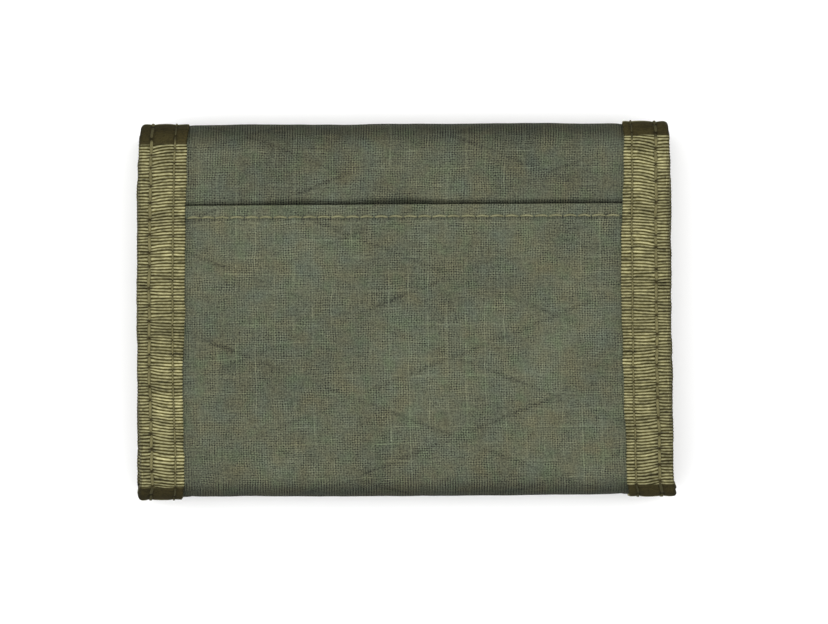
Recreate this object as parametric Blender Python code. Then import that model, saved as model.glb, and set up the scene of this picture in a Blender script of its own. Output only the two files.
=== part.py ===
"""Trifold wallet in laminated ripstop cloth, closed, lying on its outer flap.

Frame: origin at the bottom centre, +X along the folds, +Y towards the upper fold,
+Z up through the thickness. The numbers below are millimetres, and to_metres()
turns them into Blender's metres.

The wallet is one long strip with bound edges. From bottom to top of the closed
stack it runs outer flap, lower fold, centre panel, upper fold, inner flap, and the
inner flap lies between the other two. Each layer of cloth is placed by its depth,
which is counted inwards from the strip's outer face.
"""

import math

import bmesh
import bpy
from mathutils import Vector

# Driving dimensions
WIDTH = 127.8  # outer flap, over its bindings
CENTRE_WIDTH = 126.4  # centre panel, a little narrower, so the flap shows at both sides
HEIGHT = 88.4  # lower fold to upper fold
THICK = 16.0  # closed and empty
TAPE_WIDE = 11.6  # width of binding tape seen on each face
LOWER_RADIUS = 3.4  # crease radius of the lower fold
UPPER_RADIUS = 4.2  # crease radius of the upper fold

# Cloth
TAPE = 0.45
SHEET = 0.4
GAP = 0.2
NOTE_TAPES = 2 * (TAPE + GAP)  # room that the two tapes of the note mouth take up

# Depths of the layers under the outer face
TAPE_OUT = (0.0, TAPE)
FIRST = TAPE + GAP
PITCH = SHEET + GAP

# The inner flap
INNER_FACE = 6.2  # height of its outer face, which faces down when closed
INNER_WIDTH = 124.8
INNER_TIP = -18.0  # its free edge

OUTER_TIP = 41.8  # free edge of the outer flap
END_TAPE_WIDE = 7.0
CREASE_CLEAR = 0.6  # what a panel's layers keep from the curve of the crease
AXIS_INSET = 1 - math.pi / 4  # keeps the outer cloth's length as a crease opens

# Pockets on the centre panel
SLIP_MOUTH = 25.4  # mouth of the outer slip pocket
HEM = 2.9  # from the mouth to its line of stitching
CARD_STEP = 11.0
CARD_SLOTS = 3
TOP_CARD_MOUTH = 31.0

# Zipped coin pocket on the outer flap
ZIP_Y = -31.0
ZIP_GAP = 1.0  # between the two tapes
ZIP_TAPE_WIDE = 2.6
ZIP_HALF = 50.0  # half the length of the coils
SLIDER_X = -45.5
SLIDER_LONG = 9.0
SLIDER_WIDE = 8.0
POST_X = 2.6  # rear post of the bridge, which the pull's eye goes round

# Hook and loop closure
CLOSURE_LONG = 76.0
CLOSURE_Y = (11.0, 31.0)

MM = 0.001
HALF = HEIGHT / 2
ARC_STEPS = 8
COLOURS = {
    "shell": ((0.125, 0.133, 0.088), 0.75),
    "tape": ((0.19, 0.17, 0.075), 0.7),
    "lining": ((0.07, 0.075, 0.05), 0.8),
    "hook": ((0.06, 0.06, 0.035), 0.9),
    "thread": ((0.25, 0.24, 0.14), 0.6),
    "film": ((0.75, 0.78, 0.76), 0.15),
    "zip": ((0.05, 0.05, 0.035), 0.5),
    "metal": ((0.09, 0.085, 0.07), 0.35),
}


def to_metres(point):
    return Vector(point) * MM


def material(slot):
    """One Principled material for each kind of cloth or hardware."""
    found = bpy.data.materials.get(slot)
    if found:
        return found
    colour, roughness = COLOURS[slot]
    made = bpy.data.materials.new(slot)
    made.use_nodes = True
    shader = made.node_tree.nodes["Principled BSDF"]
    shader.inputs["Base Color"].default_value = (*colour, 1.0)
    shader.inputs["Roughness"].default_value = roughness
    shader.inputs["Metallic"].default_value = 1.0 if slot == "metal" else 0.0
    return made


def pivot(name, point, parent=None):
    """An empty on a joint's axis, which carries a moving body."""
    empty = bpy.data.objects.new(name, None)
    bpy.context.scene.collection.objects.link(empty)
    here = to_metres(point)
    if parent:
        empty.parent = parent
        here = here - world_of(parent)
    empty.location = here
    return empty


def world_of(empty):
    """World position of an empty whose parents only translate."""
    here = empty.location.copy()
    while empty.parent:
        empty = empty.parent
        here += empty.location
    return here


def link_mesh(name, mesh_data, slot, body):
    """Centres the mesh on its own origin, names it and hangs it on its body."""
    bmesh.ops.recalc_face_normals(mesh_data, faces=mesh_data.faces)
    low = Vector([min(v.co[k] for v in mesh_data.verts) for k in range(3)])
    high = Vector([max(v.co[k] for v in mesh_data.verts) for k in range(3)])
    middle = (low + high) / 2
    bmesh.ops.translate(mesh_data, verts=mesh_data.verts, vec=-middle)
    mesh = bpy.data.meshes.new(name)
    mesh_data.to_mesh(mesh)
    mesh_data.free()
    mesh.materials.append(material(slot))
    made = bpy.data.objects.new(name, mesh)
    bpy.context.scene.collection.objects.link(made)
    made.parent = body
    made.location = middle - world_of(body)
    return made


def prism(name, outline, place, ends, slot, body):
    """Extrudes an outline: place(u, v, w) gives a point in space, w runs over ends."""
    data = bmesh.new()
    rings = [[data.verts.new(to_metres(place(u, v, w))) for u, v in outline] for w in ends]
    for ring in rings:
        data.faces.new(ring)
    count = len(outline)
    for i in range(count):
        j = (i + 1) % count
        data.faces.new((rings[0][i], rings[0][j], rings[1][j], rings[1][i]))
    return link_mesh(name, data, slot, body)


def box_outline(u, v):
    return [(u[0], v[0]), (u[1], v[0]), (u[1], v[1]), (u[0], v[1])]


# Where each panel's depth lies in space: (x, depth, y) to (x, y, z)
def on_outer_flap(x, depth, y):
    return (x, y, depth)


def on_centre(x, depth, y):
    return (x, y, THICK - depth)


def on_inner_flap(x, depth, y):
    return (x, y, INNER_FACE + depth)


# On the folds depth runs along Y and the strip climbs along Z
def on_lower_fold(x, depth, z):
    return (x, -HALF + depth, z)


def on_upper_fold(x, depth, z):
    return (x, HALF - depth, z)


def layer(number, extra=0.0):
    """Depths of a numbered cloth layer, the first of which lies under the tape."""
    top = FIRST + number * PITCH + extra
    return (top, top + SHEET)


def tape_after(depths):
    """Depths of the tape leg that covers a layer."""
    return (depths[1] + GAP, depths[1] + GAP + TAPE)


def sheet(name, x, depths, y, place, slot, body):
    return prism(name, box_outline(x, depths), place, y, slot, body)


def cloth_end(edge, inner_tape, outer_tape=TAPE_OUT):
    """How far out the cloth may reach inside its binding before the curve stops it."""
    big = (inner_tape[1] - outer_tape[0]) / 2
    small = big - TAPE
    return edge - big + math.sqrt(small**2 - (small - GAP) ** 2) - GAP


def binding_outline(edge, outer, inner, wide, inner_wide=None):
    """Section of tape folded round an edge at x = edge, with its legs towards x = 0."""
    towards = -1 if edge > 0 else 1
    middle = (outer[0] + inner[1]) / 2
    big = (inner[1] - outer[0]) / 2
    small = big - TAPE
    centre = edge + towards * big
    tip = edge + towards * wide
    inner_tip = edge + towards * (inner_wide or wide)
    angles = [math.pi / 2 + math.pi * i / ARC_STEPS for i in range(ARC_STEPS + 1)]
    outside = [(centre + towards * big * math.cos(a), middle - big * math.sin(a)) for a in angles]
    inside = [(centre + towards * small * math.cos(a), middle - small * math.sin(a)) for a in angles]
    return (
        [(tip, outer[0])]
        + outside
        + [(inner_tip, inner[1]), (inner_tip, inner[0])]
        + inside[::-1]
        + [(tip, outer[1])]
    )


def binding(name, edge, outer, inner, y, place, body, wide=TAPE_WIDE):
    return prism(name, binding_outline(edge, outer, inner, wide), place, y, "tape", body)


def end_binding(name, tip, towards, inner, x, place, body):
    """Tape folded round a free edge at y = tip, running along X."""
    middle = inner[1] / 2
    angles = [math.pi / 2 + math.pi * i / ARC_STEPS for i in range(ARC_STEPS + 1)]

    def bow(radius):
        return [
            (tip + towards * middle + towards * radius * math.cos(a), middle - radius * math.sin(a))
            for a in angles
        ]

    far = tip + towards * END_TAPE_WIDE
    outline = [(far, 0.0)] + bow(middle) + [(far, inner[1]), (far, inner[0])]
    outline += bow(middle - TAPE)[::-1] + [(far, TAPE)]
    return prism(name, outline, lambda y, depth, x_: place(x_, depth, y), x, "tape", body)


def fold_run(depth, fold):
    """Points (y, z) at one depth round a fold, from the panel below to the one above."""
    sign, low, high, radius = fold
    reach = radius - depth
    inset = HALF - radius
    turn = [math.pi / 2 * i / ARC_STEPS for i in range(ARC_STEPS + 1)]
    bottom = [(sign * (inset + reach * math.sin(a)), low + radius - reach * math.cos(a)) for a in turn]
    bottom[0] = (sign * (inset + GAP), low + depth)
    return bottom + [(y, low + high - z) for y, z in bottom[::-1]]


def fold_band(name, x, depths, fold, slot, body):
    """A layer that runs round a fold: a curve, a flat and a curve, seen along X."""
    outline = fold_run(depths[0], fold) + fold_run(depths[1], fold)[::-1]
    return prism(name, outline, lambda y, z, x_: (x_, y, z), x, slot, body)


def join(target, other):
    """Makes two overlapping shapes one body. The other stays as a hidden guide."""
    other.hide_render = True
    other.display_type = "WIRE"
    union = target.modifiers.new("join", "BOOLEAN")
    union.operation = "UNION"
    union.object = other


def cut(target, cutter):
    cutter.hide_render = True
    cutter.display_type = "WIRE"
    difference = target.modifiers.new("cut", "BOOLEAN")
    difference.operation = "DIFFERENCE"
    difference.object = cutter


def fold_binding(name, edge, outer, inner, fold, place, body):
    """Tape round the edge of a fold. Its outer leg follows both creases."""
    _, low, high, radius = fold
    outline = binding_outline(edge, outer, inner, TAPE_WIDE)
    data = bmesh.new()

    def ring(points):
        return [data.verts.new(to_metres(point)) for point in points]

    def bridge(one, two):
        for i in range(len(one)):
            j = (i + 1) % len(one)
            data.faces.new((one[i], one[j], two[j], two[i]))

    def outer_leg(whole):
        return (whole[0], whole[1], whole[-2], whole[-1])

    leg_x = [x for x, _ in outer_leg(outline)]
    leg = [
        ring((x, *point) for x, point in zip(leg_x, (out, out, under, under)))
        for out, under in zip(fold_run(outer[0], fold), fold_run(outer[1], fold))
    ]
    flats = [
        ring(place(x, depth, z) for x, depth in outline)
        for z in (low + radius + GAP, high - radius - GAP)
    ]
    last = ARC_STEPS
    for i in range(last):
        bridge(leg[i], leg[i + 1])
        bridge(leg[-1 - i], leg[-2 - i])
    bridge(leg[last], outer_leg(flats[0]))
    bridge(leg[last + 1], outer_leg(flats[1]))
    bridge(*flats)
    for end in (leg[0], leg[-1], flats[0][1:-1], flats[1][1:-1]):
        data.faces.new(end)
    return link_mesh(name, data, "tape", body)


def window_sheet(name, x, y, hole_x, hole_y, depths, place, slot, body):
    """A sheet with a rectangular opening."""
    data = bmesh.new()
    rings = []
    for depth in depths:
        for xs, ys in ((x, y), (hole_x, hole_y)):
            corners = [(xs[0], ys[0]), (xs[1], ys[0]), (xs[1], ys[1]), (xs[0], ys[1])]
            rings.append([data.verts.new(to_metres(place(u, depth, v))) for u, v in corners])
    outer_low, hole_low, outer_high, hole_high = rings
    pairs = ((outer_low, hole_low), (outer_high, hole_high), (outer_low, outer_high), (hole_low, hole_high))
    for one, two in pairs:
        for i in range(4):
            j = (i + 1) % 4
            data.faces.new((one[i], one[j], two[j], two[i]))
    return link_mesh(name, data, slot, body)


def tray_sheet(name, x, y, flat_x, flat_y, depths, flat_depths, place, slot, body):
    """A sheet whose middle stands out between its bound edges."""
    slope = 0.6
    data = bmesh.new()
    rings = []
    for edge, flat in zip(depths, flat_depths):
        wide_x = (flat_x[0] - slope, flat_x[1] + slope)
        wide_y = (flat_y[0] - slope, flat_y[1] + slope)
        side = []
        for xs, ys, depth in ((x, y, edge), (wide_x, wide_y, edge), (flat_x, flat_y, flat)):
            corners = [(xs[0], ys[0]), (xs[1], ys[0]), (xs[1], ys[1]), (xs[0], ys[1])]
            side.append([data.verts.new(to_metres(place(u, depth, v))) for u, v in corners])
        data.faces.new(side[2])
        rings.append(side)
    one, two = rings
    for first, second in ((one[0], one[1]), (one[1], one[2]), (two[0], two[1]), (two[1], two[2]),
                          (one[0], two[0])):
        for i in range(4):
            j = (i + 1) % 4
            data.faces.new((first[i], first[j], second[j], second[i]))
    return link_mesh(name, data, slot, body)


def build_outer_flap(body):
    """Shell, note space, lining and zipped coin pocket. It rests on the table."""
    edge = WIDTH / 2
    start = -HALF + LOWER_RADIUS + CREASE_CLEAR
    sides = (start, OUTER_TIP)
    shell = layer(0)
    shell_tape = tape_after(shell)
    lining = layer(1, NOTE_TAPES)
    lining_tape = (lining[0] - GAP - TAPE, lining[0] - GAP)
    pocket = layer(3, NOTE_TAPES)
    inner_tape = tape_after(pocket)
    y = (start, cloth_end(OUTER_TIP, inner_tape))
    open_edge = edge - TAPE_WIDE
    cloth = (-cloth_end(edge, inner_tape), cloth_end(edge, shell_tape))
    pocket_cloth = (cloth[0], cloth_end(edge, inner_tape, lining_tape))
    flat_x = (-open_edge + 1.0, open_edge - 1.0)
    flat_y = (start + 1.0, OUTER_TIP - END_TAPE_WIDE - 1.0)
    tray_sheet("outer_flap_shell", cloth, y, flat_x, flat_y, shell, (0.0, SHEET),
               on_outer_flap, "shell", body)
    sheet("outer_flap_lining", pocket_cloth, lining, y, on_outer_flap, "lining", body)
    binding("outer_flap_binding_left", -edge, TAPE_OUT, inner_tape, sides, on_outer_flap, body)
    binding("outer_flap_shell_binding_right", edge, TAPE_OUT, shell_tape, sides, on_outer_flap, body)
    binding("outer_flap_lining_binding_right", edge, lining_tape, inner_tape, sides, on_outer_flap, body)
    across = (-open_edge + GAP, open_edge - GAP)
    end_binding("outer_flap_end_binding", OUTER_TIP, -1, inner_tape, across, on_outer_flap, body)

    low_tape = (ZIP_Y - ZIP_GAP / 2 - ZIP_TAPE_WIDE, ZIP_Y - ZIP_GAP / 2)
    high_tape = (ZIP_Y + ZIP_GAP / 2, ZIP_Y + ZIP_GAP / 2 + ZIP_TAPE_WIDE)
    sheet("coin_pocket_lower_strip", pocket_cloth, pocket, (start, low_tape[0] - GAP),
          on_outer_flap, "lining", body)
    sheet("coin_pocket_panel", pocket_cloth, pocket, (high_tape[1] + GAP, y[1]),
          on_outer_flap, "lining", body)
    zip_half("coin_zip_lower_tape", low_tape, pocket, -1, body)
    zip_half("coin_zip_upper_tape", high_tape, pocket, 1, body)
    hook = (pocket[1] + GAP, pocket[1] + GAP + 1.0)
    sheet("hook_strip", (-CLOSURE_LONG / 2, CLOSURE_LONG / 2), hook, CLOSURE_Y,
          on_outer_flap, "hook", body)
    return pocket


def zip_half(name, y, depths, side, body):
    """Half a coil zip: a tape with the coil standing up along its inner edge."""
    coil_wide, coil_high = 1.4, 0.75
    inner = y[0] if side > 0 else y[1]
    outer = y[1] if side > 0 else y[0]
    shoulder = inner + side * coil_wide
    top = depths[1] + coil_high
    outline = [
        (outer, depths[0]),
        (inner, depths[0]),
        (inner, top),
        (shoulder, top),
        (shoulder, depths[1]),
        (outer, depths[1]),
    ]
    return prism(name, outline, lambda v, z, x: (x, v, z), (-ZIP_HALF, ZIP_HALF), "zip", body)


def build_slider(slider, pull, pocket):
    """Zip slider: two plates joined by a post between the coils, and a bridge on top."""
    half = SLIDER_LONG / 2
    low = (pocket[0] - GAP - 0.4, pocket[0] - GAP)
    coil_top = pocket[1] + 0.75
    top = (coil_top + GAP, coil_top + GAP + 0.6)
    wide = SLIDER_WIDE / 2

    def plate_outline(reach, nose):
        return [
            (-half, -reach * 0.72),
            (-half + nose, -reach),
            (half - nose, -reach),
            (half, -reach * 0.86),
            (half, reach * 0.86),
            (half - nose, reach),
            (-half + nose, reach),
            (-half, reach * 0.72),
        ]

    def placed(x, y, z):
        return (SLIDER_X + x, ZIP_Y + y, z)

    body = prism("zip_slider", plate_outline(wide, 1.6), placed, top, "metal", slider)
    base = prism("slider_base", plate_outline(wide * 0.85, 1.4), placed, low, "metal", slider)
    post_y = ZIP_GAP / 2 - 0.25
    post = prism("slider_post", box_outline((-half + 0.3, -half + 1.8), (-post_y, post_y)), placed,
                 (low[0] + 0.1, top[1] - 0.1), "metal", slider)
    parts = [post, base]
    for side in (-1, 1):
        lip = box_outline((-half + 1.7, half - 1.7), sorted((side * (wide - 0.1), side * (wide - 0.8))))
        parts.append(prism("slider_lip", lip, placed, (pocket[1] + GAP, top[1] - 0.1), "metal", slider))
    bridge = [(-3.0, top[1] - 0.2), (-3.0, top[1] + 1.0), (-2.3, top[1] + 1.7), (2.4, top[1] + 1.7),
              (3.1, top[1] + 1.0), (3.1, top[1] - 0.2), (2.1, top[1] - 0.2), (2.1, top[1] + 1.0),
              (-2.0, top[1] + 1.0), (-2.0, top[1] - 0.2)]
    parts.append(prism("slider_bridge", bridge, lambda x, z, y: (SLIDER_X + x, ZIP_Y + y, z),
                       (-0.7, 0.7), "metal", slider))
    for part in parts:
        join(body, part)
    body.modifiers.new("edges", "BEVEL").width = 0.12 * MM
    pull_depth = (top[1] + 0.2, top[1] + 0.8)
    build_pull(pull, pull_depth)
    return body


def arc(centre, radius, start, end, steps):
    """Points along an arc in the plane of the zip, with angles in degrees."""
    angles = [math.radians(start + (end - start) * i / steps) for i in range(steps + 1)]
    return [(centre + radius * math.cos(a), radius * math.sin(a)) for a in angles]


def build_pull(pull, height):
    """Flat pull tab whose eye goes round the bridge's rear post."""
    eye, hole, long, wide = 2.3, 1.25, 15.0, 1.9
    post_x = SLIDER_X + POST_X
    outline = arc(0, eye, 50, 310, 14) + arc(long, wide, -80, 80, 8)
    circle = arc(0, hole, 0, 337.5, 15)

    def placed(x, y, z):
        return (post_x + x, ZIP_Y + y, z)

    tab = prism("zip_pull", outline, placed, height, "metal", pull)
    through = (height[0] - 1.0, height[1] + 1.0)
    cut(tab, prism("zip_pull_eye", circle, placed, through, "metal", pull))
    tab.modifiers.new("edges", "BEVEL").width = 0.12 * MM
    return tab


def build_centre(body):
    """Outer slip pocket over the shell, note space, lining and stepped card slots."""
    edge = CENTRE_WIDTH / 2
    low = -HALF + LOWER_RADIUS + CREASE_CLEAR
    high = HALF - UPPER_RADIUS - CREASE_CLEAR
    y = (low, high)
    slip, shell = layer(0), layer(1)
    shell_tape = tape_after(shell)
    lining = layer(2, NOTE_TAPES)
    lining_tape = (lining[0] - GAP - TAPE, lining[0] - GAP)
    inner_tape = tape_after(layer(2 + CARD_SLOTS, NOTE_TAPES))
    cloth = (-cloth_end(edge, inner_tape), cloth_end(edge, shell_tape))
    sheet("slip_pocket_panel", cloth, slip, (low, SLIP_MOUTH), on_centre, "shell", body)
    sheet("centre_shell", cloth, shell, y, on_centre, "shell", body)
    pocket_cloth = (cloth[0], cloth_end(edge, inner_tape, lining_tape))
    sheet("centre_lining", pocket_cloth, lining, y, on_centre, "lining", body)
    binding("centre_binding_left", -edge, TAPE_OUT, inner_tape, y, on_centre, body)
    binding("centre_shell_binding_right", edge, TAPE_OUT, shell_tape, y, on_centre, body)
    binding("centre_lining_binding_right", edge, lining_tape, inner_tape, y, on_centre, body)
    reach = edge - TAPE_WIDE - GAP
    thread = (slip[0] - GAP - 0.25, slip[0] - GAP)
    hem = SLIP_MOUTH - HEM
    sheet("slip_pocket_hem_stitching", (-reach, reach), thread, (hem - 0.25, hem + 0.25),
          on_centre, "thread", body)
    for i in range(CARD_SLOTS):
        mouth = TOP_CARD_MOUTH - i * CARD_STEP
        sheet(f"card_slot_{i + 1}", pocket_cloth, layer(3 + i, NOTE_TAPES), (low, mouth),
              on_centre, "lining", body)


def build_inner_flap(body):
    """Shell, lining and a clear window pocket, with the loop strip on the outside."""
    edge = INNER_WIDTH / 2
    high = HALF - UPPER_RADIUS - CREASE_CLEAR
    sides = (INNER_TIP, high)
    frame = layer(3)
    inner_tape = tape_after(frame)
    y = (-cloth_end(-INNER_TIP, inner_tape), high)
    cloth = (-cloth_end(edge, inner_tape), cloth_end(edge, inner_tape))
    sheet("inner_flap_shell", cloth, layer(0), y, on_inner_flap, "shell", body)
    sheet("inner_flap_lining", cloth, layer(1), y, on_inner_flap, "lining", body)
    film_y = (-12.5, 33.5)
    film_x = (-44.0, 44.0)
    sheet("window_film", film_x, layer(2), film_y, on_inner_flap, "film", body)
    window_sheet("window_frame", cloth, y, (-39.0, 39.0), (-9.0, 30.0), frame,
                 on_inner_flap, "lining", body)
    binding("inner_flap_binding_left", -edge, TAPE_OUT, inner_tape, sides, on_inner_flap, body)
    binding("inner_flap_binding_right", edge, TAPE_OUT, inner_tape, sides, on_inner_flap, body)
    reach = edge - TAPE_WIDE - GAP
    end_binding("inner_flap_end_binding", INNER_TIP, 1, inner_tape, (-reach, reach),
                on_inner_flap, body)
    loop = (-0.6, FIRST - GAP)
    sheet("loop_strip", (-CLOSURE_LONG / 2, CLOSURE_LONG / 2), loop, CLOSURE_Y,
          on_inner_flap, "hook", body)


def build_lower_fold(body):
    """The spine between the outer flap and the centre panel."""
    edge = WIDTH / 2 - 0.4
    fold = (-1, 0.0, THICK, LOWER_RADIUS)
    flat = (LOWER_RADIUS + GAP, THICK - LOWER_RADIUS - GAP)
    shell = layer(0)
    lining = layer(1, NOTE_TAPES)
    lining_tape = (lining[0] - GAP - TAPE, lining[0] - GAP)
    inner_tape = tape_after(lining)
    cloth = (-cloth_end(edge, inner_tape), cloth_end(edge, tape_after(shell)))
    lining_cloth = (cloth[0], cloth_end(edge, inner_tape, lining_tape))
    fold_band("lower_fold_shell", cloth, shell, fold, "shell", body)
    sheet("lower_fold_lining", lining_cloth, lining, flat, on_lower_fold, "lining", body)
    fold_binding("lower_fold_binding_left", -edge, TAPE_OUT, inner_tape, fold, on_lower_fold, body)
    fold_binding("lower_fold_shell_binding_right", edge, TAPE_OUT, tape_after(shell), fold,
                 on_lower_fold, body)
    binding("lower_fold_lining_binding_right", edge, lining_tape, inner_tape, flat,
            on_lower_fold, body)


def build_upper_fold(body):
    """The narrower spine between the centre panel and the inner flap."""
    edge = CENTRE_WIDTH / 2 - 0.4
    fold = (1, INNER_FACE, THICK, UPPER_RADIUS)
    flat = (INNER_FACE + UPPER_RADIUS + GAP, THICK - UPPER_RADIUS - GAP)
    lining = layer(1)
    inner_tape = tape_after(lining)
    cloth = (-cloth_end(edge, inner_tape), cloth_end(edge, inner_tape))
    fold_band("upper_fold_shell", cloth, layer(0), fold, "shell", body)
    sheet("upper_fold_lining", cloth, lining, flat, on_upper_fold, "lining", body)
    for side, name in ((-1, "left"), (1, "right")):
        fold_binding(f"upper_fold_binding_{name}", side * edge, TAPE_OUT, inner_tape, fold,
                     on_upper_fold, body)


def main():
    for item in list(bpy.data.objects):
        bpy.data.objects.remove(item)
    low_y = -HALF + AXIS_INSET * LOWER_RADIUS
    low_z = AXIS_INSET * LOWER_RADIUS
    high_y = HALF - AXIS_INSET * UPPER_RADIUS
    high_z = AXIS_INSET * UPPER_RADIUS
    outer_flap = pivot("outer_flap", (0, 0, 0))
    lower_fold = pivot("lower_fold", (0, low_y, low_z), outer_flap)
    centre = pivot("centre", (0, low_y, THICK - low_z), lower_fold)
    upper_fold = pivot("upper_fold", (0, high_y, THICK - high_z), centre)
    inner_flap = pivot("inner_flap", (0, high_y, INNER_FACE + high_z), upper_fold)
    slider = pivot("slider", (SLIDER_X, ZIP_Y, 0), outer_flap)
    pull = pivot("pull", (SLIDER_X + POST_X, ZIP_Y, 0), slider)
    pocket = build_outer_flap(outer_flap)
    build_slider(slider, pull, pocket)
    build_lower_fold(lower_fold)
    build_centre(centre)
    build_upper_fold(upper_fold)
    build_inner_flap(inner_flap)


main()
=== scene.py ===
"""Looks of the trifold wallet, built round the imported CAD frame.

The wallet is one long bound strip. A point on it has three numbers in millimetres:
x across the strip, s along it (0 at the middle of the centre panel, growing towards the
upper fold and the inner flap) and depth, counted inwards from the outer face.
place() turns them into the row frame, so every cloth follows the folds by itself.
"""

import math

import bpy
import numpy as np
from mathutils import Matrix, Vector


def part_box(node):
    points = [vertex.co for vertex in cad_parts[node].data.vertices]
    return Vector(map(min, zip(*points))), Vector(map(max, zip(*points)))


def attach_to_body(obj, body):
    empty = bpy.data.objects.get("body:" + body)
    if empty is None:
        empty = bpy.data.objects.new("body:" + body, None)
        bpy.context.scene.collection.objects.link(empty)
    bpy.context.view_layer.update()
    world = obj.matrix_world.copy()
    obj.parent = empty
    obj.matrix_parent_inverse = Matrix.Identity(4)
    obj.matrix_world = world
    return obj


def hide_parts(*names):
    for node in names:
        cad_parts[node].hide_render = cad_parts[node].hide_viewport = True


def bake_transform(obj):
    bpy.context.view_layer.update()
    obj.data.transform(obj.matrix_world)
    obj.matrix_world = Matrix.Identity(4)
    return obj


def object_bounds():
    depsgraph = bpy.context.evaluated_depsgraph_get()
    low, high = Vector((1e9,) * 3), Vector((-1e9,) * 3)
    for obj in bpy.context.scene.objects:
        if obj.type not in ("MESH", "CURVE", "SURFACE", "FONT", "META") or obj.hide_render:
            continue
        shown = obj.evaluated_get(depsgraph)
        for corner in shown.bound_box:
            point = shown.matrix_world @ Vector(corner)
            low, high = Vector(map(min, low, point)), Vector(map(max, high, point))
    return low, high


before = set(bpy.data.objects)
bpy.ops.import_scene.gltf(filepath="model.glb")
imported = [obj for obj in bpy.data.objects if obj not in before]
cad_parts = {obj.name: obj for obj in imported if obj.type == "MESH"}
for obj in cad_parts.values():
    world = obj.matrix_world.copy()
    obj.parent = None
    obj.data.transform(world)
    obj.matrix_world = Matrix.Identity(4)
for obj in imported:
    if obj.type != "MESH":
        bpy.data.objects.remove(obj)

cad_low, cad_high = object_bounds()
MM = 0.001


def box_mm(node):
    low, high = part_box(node)
    return np.array(low) / MM, np.array(high) / MM


# Sizes taken from the frame
HALF = cad_high.y / MM
THICK = cad_high.z / MM
INNER_Z = box_mm("inner_flap_binding_left")[0][2]
FLAP_TIP = box_mm("outer_flap_binding_left")[1][1]
INNER_TIP = box_mm("inner_flap_binding_left")[0][1]
FLAP_EDGE = box_mm("outer_flap_shell_binding_right")[1][0]
CENTRE_EDGE = box_mm("centre_shell_binding_right")[1][0]
INNER_EDGE = box_mm("inner_flap_binding_right")[1][0]
MOUTH = box_mm("slip_pocket_panel")[1][1] - 0.5
HEM_LINE = float(np.mean([corner[1] for corner in box_mm("slip_pocket_hem_stitching")])) - 0.6
CARD_MOUTHS = [box_mm(f"card_slot_{i}")[1][1] for i in (1, 2, 3)]
LOWER_RADIUS = 3.4
UPPER_RADIUS = 4.2

# Cloth
TAPE_WIDE = 11.6
RIB = 0.74
STITCH = 3.45
ROWS = {-1: (3.0, 8.5), 1: (3.3, 8.9)}  # the two rows of stitches, from each side's outer edge
SHELL_DEPTH = 0.65
QUARTER = math.pi / 2


# Smooth noise -------------------------------------------------------------------
def hashed(i, j, seed):
    value = np.sin(i * 127.1 + j * 311.7 + seed * 74.7) * 43758.5453
    return value - np.floor(value)


def waves(x, y, size, seed, octaves=2):
    """Value noise from -1 to 1 whose features are about size millimetres across."""
    total, weight = 0.0, 0.0
    for k in range(octaves):
        px, py = np.asarray(x) / size * 2**k, np.asarray(y) / size * 2**k
        i, j = np.floor(px), np.floor(py)
        fx, fy = px - i, py - j
        fx, fy = (f * f * f * (f * (f * 6 - 15) + 10) for f in (fx, fy))
        low = hashed(i, j, seed + k) * (1 - fx) + hashed(i + 1, j, seed + k) * fx
        high = hashed(i, j + 1, seed + k) * (1 - fx) + hashed(i + 1, j + 1, seed + k) * fx
        total = total + (low * (1 - fy) + high * fy - 0.5) * 2 * 0.5**k
        weight += 0.5**k
    return total / weight


def bump(value, centre, width):
    return np.exp(-(((np.asarray(value) - centre) / width) ** 2))


def unit(value):
    return np.clip(value, 0, 1)


def ease(value):
    """0 to 1, leaving 0 and reaching 1 softly."""
    t = unit(value)
    return t * t * (3 - 2 * t)


def settle(x, y, z):
    """The soft wallet's own sag and sway: nothing on the floor, most on top. Takes millimetres
    and gives metres."""
    share = unit(z / THICK)
    puff = 0.45 * bump(x, 4, 40) * bump(y, -4, 27)
    droop = 0.3 * (np.abs(x) / 64) ** 4 + 0.2 * (np.abs(y) / 45) ** 4
    z = z + (puff - droop + 0.28 * waves(x, y, 34.0, 2) + 0.1 * waves(x, y, 13.0, 4)) * share
    shear = 0.35 - 0.62 * np.cos(np.pi * np.clip(y, -44, 44) / 88)
    x = x + shear * share + 0.15 * waves(y, z * 2, 15.0, 6)
    sway = 0.12 * waves(x, z, 19.0, 8) + 0.08 * waves(x, z, 7.0, 10)
    y = y + sway * (np.abs(y) / HALF) ** 3
    return np.stack([x, y, z], -1) * MM


# The strip's path ---------------------------------------------------------------
def trace():
    """Lines and turns of the strip's outer face, in (y, z), from free end to free end."""
    low, high = HALF - LOWER_RADIUS, HALF - UPPER_RADIUS
    low_turn, high_turn = LOWER_RADIUS * QUARTER, UPPER_RADIUS * QUARTER
    down, up, back, ahead = (0, -1), (0, 1), (-1, 0), (1, 0)
    return [
        ("line", FLAP_TIP + low, (FLAP_TIP, 0), back, down),
        ("turn", low_turn, (-low, LOWER_RADIUS), LOWER_RADIUS, down, back),
        ("line", THICK - 2 * LOWER_RADIUS, (-HALF, LOWER_RADIUS), up, back),
        ("turn", low_turn, (-low, THICK - LOWER_RADIUS), LOWER_RADIUS, back, up),
        ("line", low + high, (-low, THICK), ahead, up),
        ("turn", high_turn, (high, THICK - UPPER_RADIUS), UPPER_RADIUS, up, ahead),
        ("line", THICK - INNER_Z - 2 * UPPER_RADIUS, (HALF, THICK - UPPER_RADIUS), down, ahead),
        ("turn", high_turn, (high, INNER_Z + UPPER_RADIUS), UPPER_RADIUS, ahead, down),
        ("line", high - INNER_TIP, (high, INNER_Z), back, down),
    ]


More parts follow.
